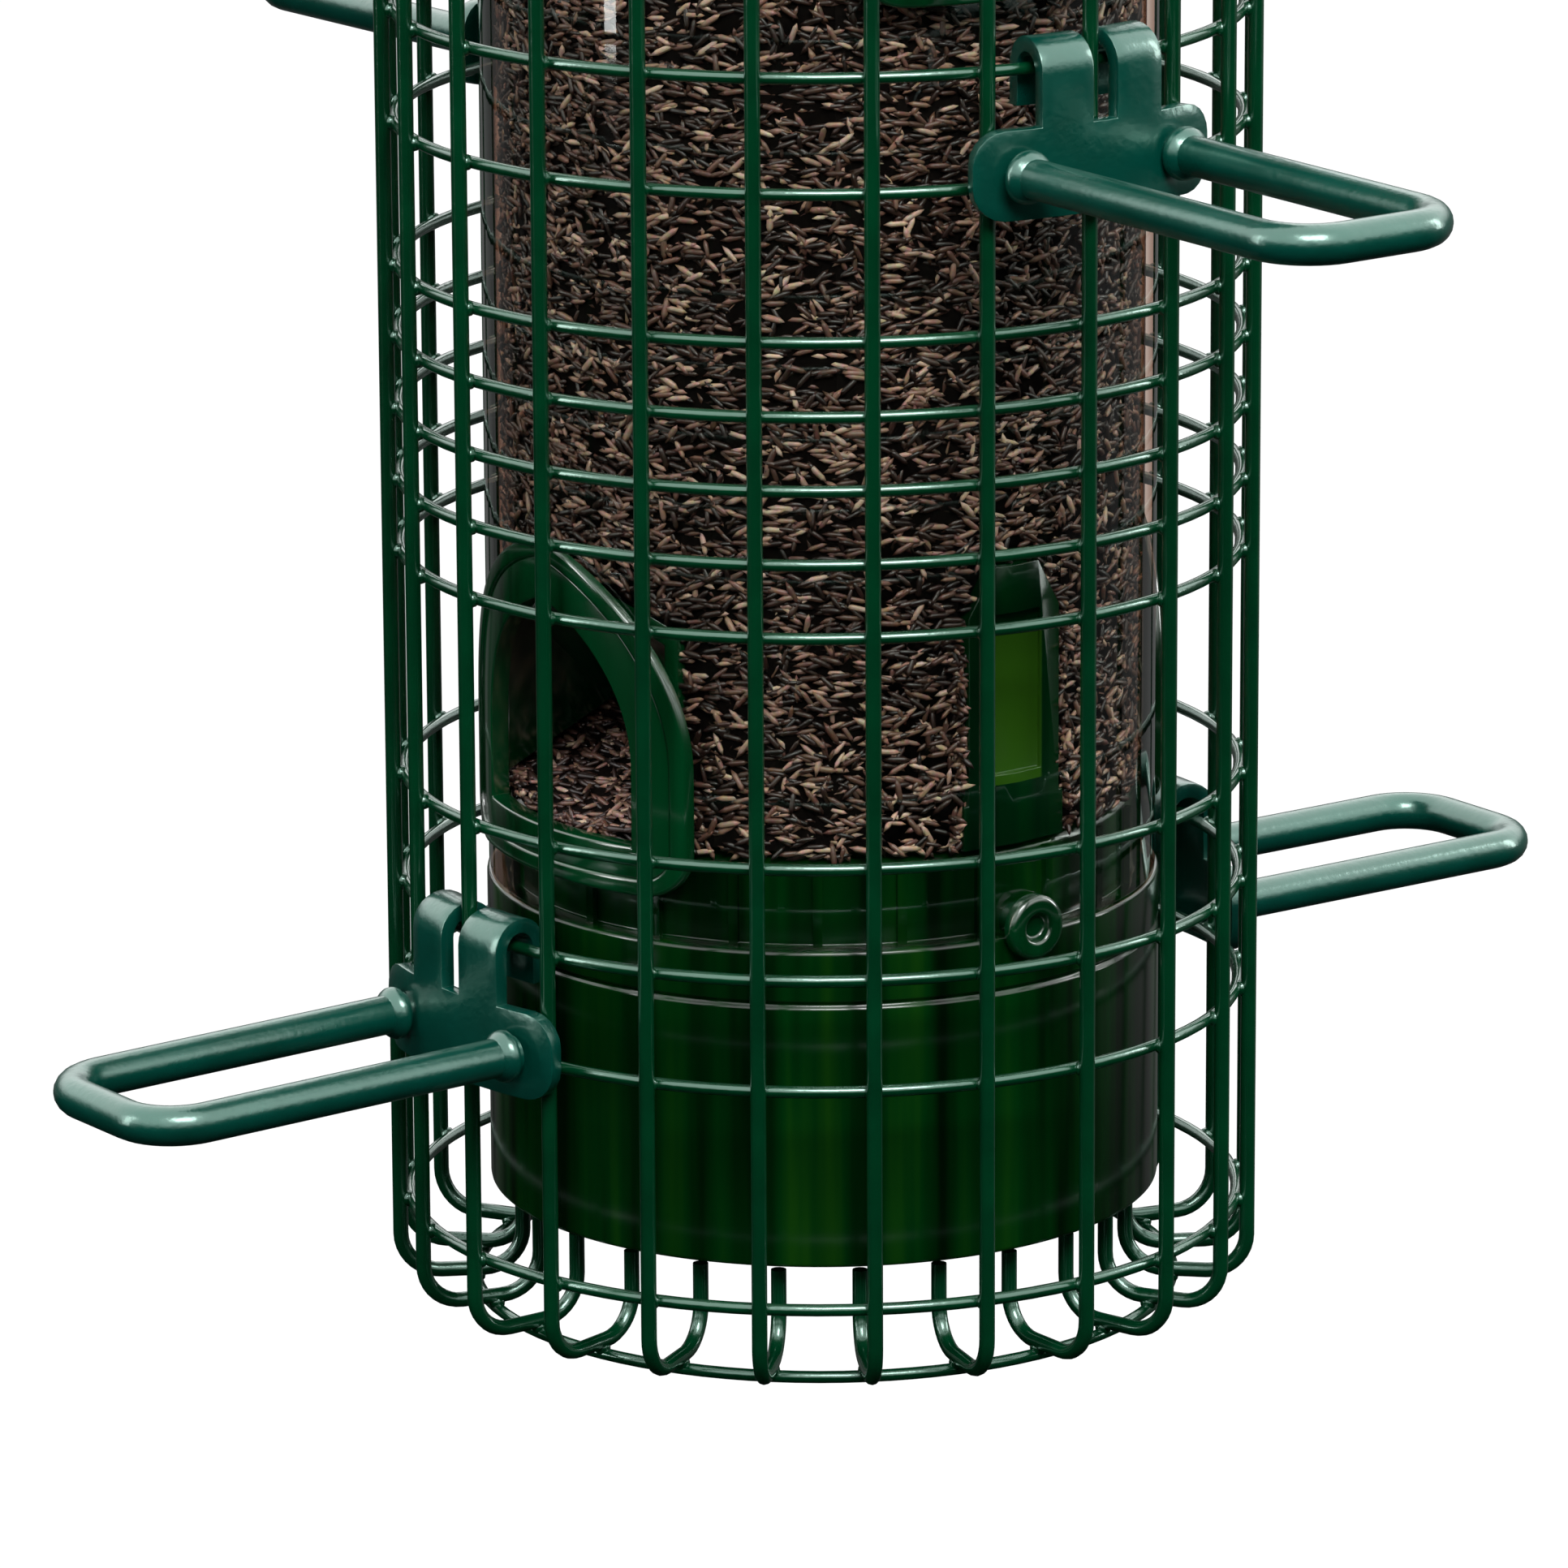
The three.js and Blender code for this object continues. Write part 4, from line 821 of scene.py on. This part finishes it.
frame_section = rounded([
    (OPENING_HALF, 47.8, 0), (OPENING_HALF, 50.7, 0.45), (23.4, 50.7, 0.1), (23.5, 50.4, 0.1),
    (23.8, 51.1, 0.5), (FRAME_HALF, 51.1, 0.7), (FRAME_HALF, 49.8, 0.1), (SLEEVE_HALF, 49.8, 0),
    (SLEEVE_HALF, 47.8, 0)], 0.3)
shares = [step / 60 for step in range(120)]
port_frame = skin("port frame pattern", [
    [on_tube(*arch_point(p.x, share), p.y) for p in frame_section] for share in shares], ring=True)
four_copies(port_frame, "port_frame", frame_styrene)

# %% [markdown]
# ## The base cup
# A moulded cup with a ledge that the tube stands on, a groove near its rim, a ribbed spigot in
# the tube and a floor that rises to the middle, so that seed runs to the ports. It is one turned
# section. A small tree places the ribs, and webs cross its hollow.

# %% Cup and webs
cup = turned("cup", [
    (47.8, 16.7, 0.6), (50.0, 16.7, 0.7), (50.0, 55.8, 0.2), (49.4, 56.4, 0.3), (50.0, 57.0, 0.2),
    (50.0, 64.4, 0.6), (46.4, 64.4, 0.3), (46.4, 76.0, 0.5), (45.4, 77.0, 0.5), (0, 84.0), (0, 81.6),
    (44.2, 74.6, 0.5), (44.2, 62.2, 0.5), (47.8, 60.0, 0.5)], 160, 0.4)
web_outline = [(0, 44), (47.9, 44), (47.9, 60), (44.3, 62.2), (44.3, 74.6), (0, 81.7)]
webs = []
for step in range(4):
    web = skin("web", [[(x, side, z) for x, z in web_outline] for side in (-1.0, 1.0)])
    web.data.transform(Matrix.Rotation(math.pi / 2 * step, 4, "Z"))
    webs.append(web)
cup = joined("base cup", [cup, *webs])

# %% Ribs round the spigot
rib_tree, add, rib_in = start_tree(
    "ribs round a spigot", Ribs="Int", Rib_Width="Float", Rib_Proud="Float", Rib_Height="Float",
    Spigot_Radius="Float", Rib_Foot="Float")
circle = add("MeshCircle", {"Vertices": rib_in["Ribs"], "Radius": rib_in["Spigot Radius"]})
half_angle = add("Math", {0: math.pi, 1: rib_in["Ribs"]}, operation="DIVIDE")
half_turn = add("CombineXYZ", {"Z": half_angle})
raise_by = add("CombineXYZ", {"Z": rib_in["Rib Foot"]})
stations = add("Transform", {"Geometry": circle, "Rotation": half_turn, "Translation": raise_by})
rib_size = add("CombineXYZ", {
    "X": rib_in["Rib Proud"], "Y": rib_in["Rib Width"], "Z": rib_in["Rib Height"]})
rib_block = add("MeshCube", {"Size": rib_size})
outward = add("VectorMath", {0: add("InputPosition"), 1: (1, 1, 0)}, operation="MULTIPLY")
face_out = add("AlignRotationToVector", {"Vector": outward}, axis="X", pivot_axis="Z")
rib_row = add("InstanceOnPoints", {"Points": stations, "Instance": rib_block, "Rotation": face_out})
end_tree(add, rib_row, rib_in["Material"])
ribs = line_piece("spigot ribs", [(0, 0, 0)])
grow(ribs, rib_tree, Ribs=24, Rib_Width=1.4 * MM, Rib_Proud=1.8 * MM, Rib_Height=11.6 * MM,
     Spigot_Radius=46.4 * MM, Rib_Foot=70.2 * MM, Material=green_styrene)
cup = joined("base_cup_shown", [cup, ribs])
finish_piece(cup, green_styrene, ["base_cup"])

# %% [markdown]
# ## The studs
# A dished stud on each side holds the tube on the cup. It is one section turned about its shank
# and then laid along the radius.

# %% Studs
STUD_HEIGHT = 65.7


def radial(turn, height):
    """Lays a piece that is turned about Z along a radius at this height."""
    return set_to(turn, height) @ UPRIGHT_TO_OUTWARD


stud_section = [(0, 44.2), (2.6, 44.2), (2.6, 50.3, 0.1), (4.8, 50.3, 0.3), (4.8, 52.5, 1.3),
                (2.2, 52.5, 0.5), (1.8, 51.1, 0.4), (0, 51.1)]
for name, turn in (("front", -math.pi / 2), ("back", math.pi / 2)):
    stud = turned(f"base_stud_{name}_shown", stud_section, 40, 0.3)
    stud.data.transform(radial(turn, STUD_HEIGHT))
    finish_piece(stud, frame_styrene, [f"base_stud_{name}"])

# %% [markdown]
# ## Pieces that keep their CAD shape
# The divider, the hoods, the bridge and the yoke are straight mouldings and bent straps. Their
# CAD shape is right, and only their edges are too sharp. A copy of each mesh has its loose
# corners merged, its flat faces joined up, and its edges bevelled a little.

# %% Softened copies
def softened(node, width, material, body="feeder_body"):
    piece = placed(f"{node}_shown", bpy.data.objects[node].data.copy())
    shape = bmesh.new()
    shape.from_mesh(piece.data)
    bmesh.ops.remove_doubles(shape, verts=shape.verts, dist=0.005 * MM)
    bmesh.ops.dissolve_limit(shape, angle_limit=math.radians(1), verts=shape.verts, edges=shape.edges)
    shape.to_mesh(piece.data)
    shape.free()
    soften_edges(piece, width, 35)
    finish_piece(piece, material, [node], body)


softened("seed_divider", 0.35, divider_styrene)
for place in places:
    softened(f"port_hood_{place}", 0.2, frame_styrene)
softened("spring_bridge", 0.3, zinc_plate)
softened("cage_yoke", 0.3, zinc_plate, "shroud")
for name in ("bridge_nut_right", "bridge_nut_left", "rod_nut_lower", "rod_nut_upper"):
    softened(name, 0.3, zinc_plate)

# %% [markdown]
# ## The seed tube
# A clear extruded tube with an arched hole for each port, notches for the studs, two slots that
# the yoke slides in and two screw holes. The tube is turned, and cutters of the same outlines
# take the holes out of it.

# %% Tube
TUBE_INNER, TUBE_OUTER, TUBE_LOW, TUBE_TOP = 47.7, 49.5, 64.7, 322
SCREW_HEIGHT = 265
HOLE_SLACK = 0.3
tube = turned("seed_tube_shown", [
    (TUBE_INNER, TUBE_LOW, 0.2), (TUBE_OUTER, TUBE_LOW, 0.2), (TUBE_OUTER, TUBE_TOP, 0.6),
    (TUBE_INNER, TUBE_TOP, 0.6)], 160)


def round_hole(radius, height):
    return [(radius * math.cos(angle), height + radius * math.sin(angle)) for angle in around(32)]


hole_outline = [(y * (SLEEVE_HALF + HOLE_SLACK) / SLEEVE_HALF, z + (HOLE_SLACK if z > 80 else -HOLE_SLACK))
                for y, z in (arch_point(SLEEVE_HALF, share) for share in shares)]
slot_outline = [(-6.5, 275.5), (6.5, 275.5), (6.5, 313.5), (-6.5, 313.5)]
cutters = [(hole_outline, turn, lift) for turn, lift in places.values()]
cutters += [(slot_outline, math.pi / 24 + half, 0) for half in (0, math.pi)]
cutters += [(round_hole(2.9, STUD_HEIGHT), turn, 0) for turn in (math.pi / 2, -math.pi / 2)]
cutters += [(round_hole(2.2, SCREW_HEIGHT), turn, 0) for turn in (0, math.pi)]
for number, (outline, turn, lift) in enumerate(cutters):
    cutter = skin(f"cutter {number}", [[(x, y, z) for y, z in outline] for x in (40, 56)])
    cutter.data.transform(set_to(turn, lift))
    cut = tube.modifiers.new(cutter.name, "BOOLEAN")
    cut.object = cutter
    cut.operation = "DIFFERENCE"
    cut.solver = "EXACT"
finish_piece(tube, clear_acrylic, ["seed_tube"])
for number in range(len(cutters)):
    bpy.data.objects.remove(bpy.data.objects[f"cutter {number}"])

# %% [markdown]
# ## The seed
# Thousands of slender grains lie against the tube's wall, mostly level. A tree scatters grains
# over the CAD solid's own surface, lays each one on it, turns it a little at random, and gives
# it a tone. A core painted nearly black, painted shade, closes the gaps. Six bands keep every
# piece small enough to export.

# %% Carrier and core
CORE_DEPTH, WALL_SEEN = 1.3, 44
carrier = placed("seed carrier", bpy.data.objects["seed_fill"].data.copy())
carrier.data.materials.clear()
shape = bmesh.new()
shape.from_mesh(carrier.data)
bmesh.ops.remove_doubles(shape, verts=shape.verts, dist=0.005 * MM)
core_shape = shape.copy()
for vertex in core_shape.verts:
    vertex.normal_update()
for vertex in core_shape.verts:
    vertex.co -= vertex.normal * CORE_DEPTH * MM
core_mesh = bpy.data.meshes.new("seed core")
core_shape.to_mesh(core_mesh)
core_shape.free()


def hidden(face):
    """Faces that look down, and the walls of the hollows, carry no grains."""
    middle = face.calc_center_median() / MM
    return face.normal.z < -0.2 or (abs(face.normal.z) < 0.2 and math.hypot(middle.x, middle.y) < WALL_SEEN)


bmesh.ops.delete(shape, geom=[face for face in shape.faces if hidden(face)], context="FACES")
shape.to_mesh(carrier.data)
print("faces that carry grains:", len(carrier.data.polygons))
shape.free()

# %% One husk
HUSK_LENGTH, HUSK_WIDTH, HUSK_THICKNESS = 3.9, 0.95, 0.8
SIDES = 5
husk_points = [(-HUSK_LENGTH / 2, 0, 0.1)]
for share, fullness in ((-0.28, 0.92), (0.2, 1.0)):
    husk_points += [(share * HUSK_LENGTH, HUSK_WIDTH / 2 * fullness * math.cos(angle),
                     HUSK_THICKNESS / 2 * fullness * math.sin(angle)) for angle in around(SIDES)]
husk_points.append((HUSK_LENGTH / 2, 0, 0.1))
husk_faces = []
for k in range(SIDES):
    near, far = 1 + k, 1 + (k + 1) % SIDES
    husk_faces += [(0, far, near), (near, far, far + SIDES, near + SIDES),
                   (near + SIDES, far + SIDES, len(husk_points) - 1)]
husk = piece_from("husk", husk_points, husk_faces)

# %% Seed tree
seed_tree, add, seed_in = start_tree("scattered seed", Grains_per_Area="Float", Low="Float", High="Float",
                                     Sink="Float", Husk="Object", Seed="Int")
spread = add("DistributePointsOnFaces", {
    "Mesh": seed_in["Geometry"], "Density": seed_in["Grains per Area"], "Seed": seed_in["Seed"]})
level_of = add("SeparateXYZ", {"Vector": add("InputPosition")})
below = add("Compare", {0: level_of.outputs["Z"], 1: seed_in["Low"]}, operation="LESS_THAN")
above = add("Compare", {0: level_of.outputs["Z"], 1: seed_in["High"]}, operation="GREATER_EQUAL")
outside = add("BooleanMath", {0: below, 1: above}, operation="OR")
band = add("DeleteGeometry", {"Geometry": spread, "Selection": outside})

level_way = add("VectorMath", {
    0: spread.outputs["Normal"], 1: (0.02, 0.01, 1.0)}, operation="CROSS_PRODUCT")
lie_flat = add("AlignRotationToVector", {"Vector": spread.outputs["Normal"]}, axis="Z")
lie_level = add("AlignRotationToVector", {
    "Rotation": lie_flat, "Vector": level_way}, axis="X", pivot_axis="Z")
swing = add("RandomValue", {2: -1.0, 3: 1.0, "Seed": 3})
swing_square = add("Math", {0: swing, 1: swing}, operation="MULTIPLY")
swing_cube = add("Math", {0: swing_square, 1: swing}, operation="MULTIPLY")
jog = add("RandomValue", {2: -0.35, 3: 0.35, "Seed": 4})
turn_all = add("Math", {0: swing_cube, 1: 1.45, 2: jog}, operation="MULTIPLY_ADD")
tip = add("RandomValue", {2: -0.3, 3: 0.3, "Seed": 5})
toss = add("CombineXYZ", {"Y": tip, "Z": turn_all})
tossed = add("RotateRotation", {"Rotation": lie_level, "Rotate By": toss}, rotation_space="LOCAL")
depth = add("RandomValue", {2: 0.45 * MM, 3: seed_in["Sink"], "Seed": 6})
inward_by = add("Math", {0: depth, 1: -1.0}, operation="MULTIPLY")
push = add("VectorMath", {0: spread.outputs["Normal"], "Scale": inward_by}, operation="SCALE")
sunk = add("SetPosition", {"Geometry": band, "Offset": push})
husk_shape = add("ObjectInfo", {"Object": seed_in["Husk"]})
plump = add("RandomValue", {2: 0.78, 3: 1.12, "Seed": 7})
grains = add("InstanceOnPoints", {
    "Points": sunk, "Instance": husk_shape.outputs["Geometry"], "Rotation": tossed, "Scale": plump})
shade = add("RandomValue", {2: 0.0, 3: 1.0, "Seed": 8})
toned = add("StoreNamedAttribute", {"Geometry": grains, "Name": "tone", "Value": shade}, domain="INSTANCE")
end_tree(add, toned, seed_in["Material"])

# %% Grow the grains
BAND_EDGES = (70, 106, 142, 178, 214, 249.3, 252)
for number, (low, high) in enumerate(zip(BAND_EDGES, BAND_EDGES[1:]), 1):
    grains = placed(f"seed_grains_{number}", carrier.data.copy())
    grow(grains, seed_tree, Grains_per_Area=0.72e6, Low=low * MM, High=high * MM, Sink=1.5 * MM,
         Husk=husk, Seed=7, Material=seed_husk)
    finish_piece(grains, seed_husk, ["seed_fill"], crease=80)
bpy.data.objects.remove(husk)
bpy.data.objects.remove(carrier)
finish_piece(placed("seed_core", core_mesh), painted_shade_core, ["seed_fill"])

# %% [markdown]
# ## Rod, spring and what sits on them
# The rod is one bent wire that ends in an open eye. The spring is wound with its end curls
# closed, as a compression spring is. Washers, collar, bush, screws and grommet are turned.

# %% Hanger rod
EYE_CENTRE, EYE_RADIUS, EYE_NECK = 526.5, 17.0, 12.0
EYE_OPENING = math.radians(25)
ROD_RADIUS, ROD_FOOT = 2.5, 250.7
eye_start = EYE_OPENING - math.pi / 2
eye_end = 3 * math.pi / 2 - EYE_OPENING
eye = [(EYE_RADIUS * math.cos(a), 0, EYE_CENTRE + EYE_RADIUS * math.sin(a))
       for a in (eye_start + (eye_end - eye_start) * step / 48 for step in range(49))]
neck_foot = EYE_CENTRE - EYE_RADIUS - EYE_NECK
lead = EYE_NECK * 2 / 3
lead_in = Vector((-math.cos(EYE_OPENING), 0, -math.sin(EYE_OPENING))) * lead / 2
neck_controls = [Vector((0, 0, neck_foot)), Vector((0, 0, neck_foot + lead)),
                 Vector(eye[0]) + lead_in, Vector(eye[0])]
neck = interpolate_bezier(*neck_controls, 13)[:-1]
rod_path = [(0, 0, ROD_FOOT), *neck, *eye]
rod = line_piece("hanger_rod_shown", rod_path)
grow(rod, wire_tree, Wire_Radius=ROD_RADIUS * MM, Bend_Radius=0.0, Bend_Steps=1, Sides=20,
     Material=zinc_plate)
finish_piece(rod, zinc_plate, ["hanger_rod"])

# %% Main spring
SPRING_LOW, SPRING_HIGH = 259.8, 308.2
SPRING_RADIUS, SPRING_WIRE = 9.0, 0.8
CURLS, CURL_STEPS, CLOSED = 8, 24, 0.9
low, high = SPRING_LOW + SPRING_WIRE, SPRING_HIGH - SPRING_WIRE
closed_rise = 2 * SPRING_WIRE
spring_path = []
for step in range(CURLS * CURL_STEPS + 1):
    curl = step / CURL_STEPS
    height = low + closed_rise + (high - low - 2 * closed_rise) * (curl - CLOSED) / (CURLS - 2 * CLOSED)
    if curl < CLOSED:
        height = low + closed_rise * curl / CLOSED
    elif curl > CURLS - CLOSED:
        height = high - closed_rise * (CURLS - curl) / CLOSED
    angle = 2 * math.pi * curl
    spring_path.append((SPRING_RADIUS * math.cos(angle), SPRING_RADIUS * math.sin(angle), height))
spring = line_piece("main_spring_shown", spring_path)
grow(spring, wire_tree, Wire_Radius=SPRING_WIRE * MM, Bend_Radius=0.0, Bend_Steps=1, Sides=12,
     Material=drawn_wire)
finish_piece(spring, drawn_wire, ["main_spring"])
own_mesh(spring)

# %% Turned small pieces
def turned_node(node, outline, material, body="feeder_body", steps=64, radius=0.3, lay=set_to(0)):
    piece = turned(f"{node}_shown", outline, steps, radius)
    piece.data.transform(lay)
    finish_piece(piece, material, [node], body)


def heights(node):
    return [corner[2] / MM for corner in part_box(node)]


for node, body, bore, outer, radius in (("spring_washer_lower", "feeder_body", 4.92, 11.5, 0.3),
                                        ("spring_washer_upper", "shroud", 3.0, 11.5, 0.3),
                                        ("stop_collar", "feeder_body", 2.6, 7, 0.6)):
    low, high = heights(node)
    outline = [(bore, low), (outer, low), (outer, high), (bore, high)]
    turned_node(node, outline, zinc_plate, body, radius=radius)
low, high = heights("yoke_bush")
bush = [(3, low), (4.5, low), (4.5, high - 1.5, 0.1), (7, high - 1.5), (7, high), (3, high)]
turned_node("yoke_bush", bush, dark_nylon, "shroud")

screw = [(0, 37.8), (1.9, 37.8), (1.9, 49.8, 0.1), (4, 49.8, 0.2), (4, 51.2, 1.0), (1.6, 52.2, 0.3),
         (1.2, 51.3, 0.2), (0, 51.3)]
for name, turn in (("right", 0), ("left", math.pi)):
    turned_node(f"bridge_screw_{name}", screw, zinc_plate, steps=32,
                lay=radial(turn, SCREW_HEIGHT))

# %% [markdown]
# ## The lid
# A domed lid with a skirt round the cage's top, a lip inside that drops over the tube, and a
# rubber grommet that the rod runs through. The dome is drawn with many corners, so that the
# highlight on it runs smoothly.

# %% Lid and grommet
LID_SHOULDER, LID_FOOT = 315, 303
LID_OUTER, LID_INNER = 69, 66.8


def dome(rim, rise, start, end, steps):
    first, last = math.asin(start / rim), math.asin(min(end / rim, 1))
    angles = [first + (last - first) * step / steps for step in range(steps + 1)]
    return [(rim * math.sin(a), LID_SHOULDER + rise * math.cos(a), 0) for a in angles]


outside = dome(LID_OUTER, 36, 11, LID_OUTER, 28)
inside_over = dome(LID_INNER, 33.8, 11, 45.5, 14)
inside_past = dome(LID_INNER, 33.8, 52.2, LID_INNER, 14)
lid_outline = [
    (LID_OUTER, LID_FOOT, 0.9), *reversed(outside), (6.3, outside[0][1], 0.4),
    (6.3, inside_over[0][1], 0.2), *inside_over, (45.5, 322.3, 0.3), (50.0, 322.3, 0.2),
    (50.0, 316.3, 0.4), (52.2, 316.3, 0.4), *inside_past, (LID_INNER, LID_FOOT, 0.5)]
lid = turned("lid_shown", lid_outline, 160, 0.3)
finish_piece(lid, lid_styrene, ["lid"], "lid_body")

low, high = heights("lid_grommet")
grommet = [(3, low), (6, low), (6, high - 2.4, 0.1), (9.5, high - 2.4, 0.3), (9.5, high - 1.2, 0.8),
           (6, high, 1.0), (3, high, 0.5)]
turned_node("lid_grommet", grommet, dark_rubber, "lid_body", 48)
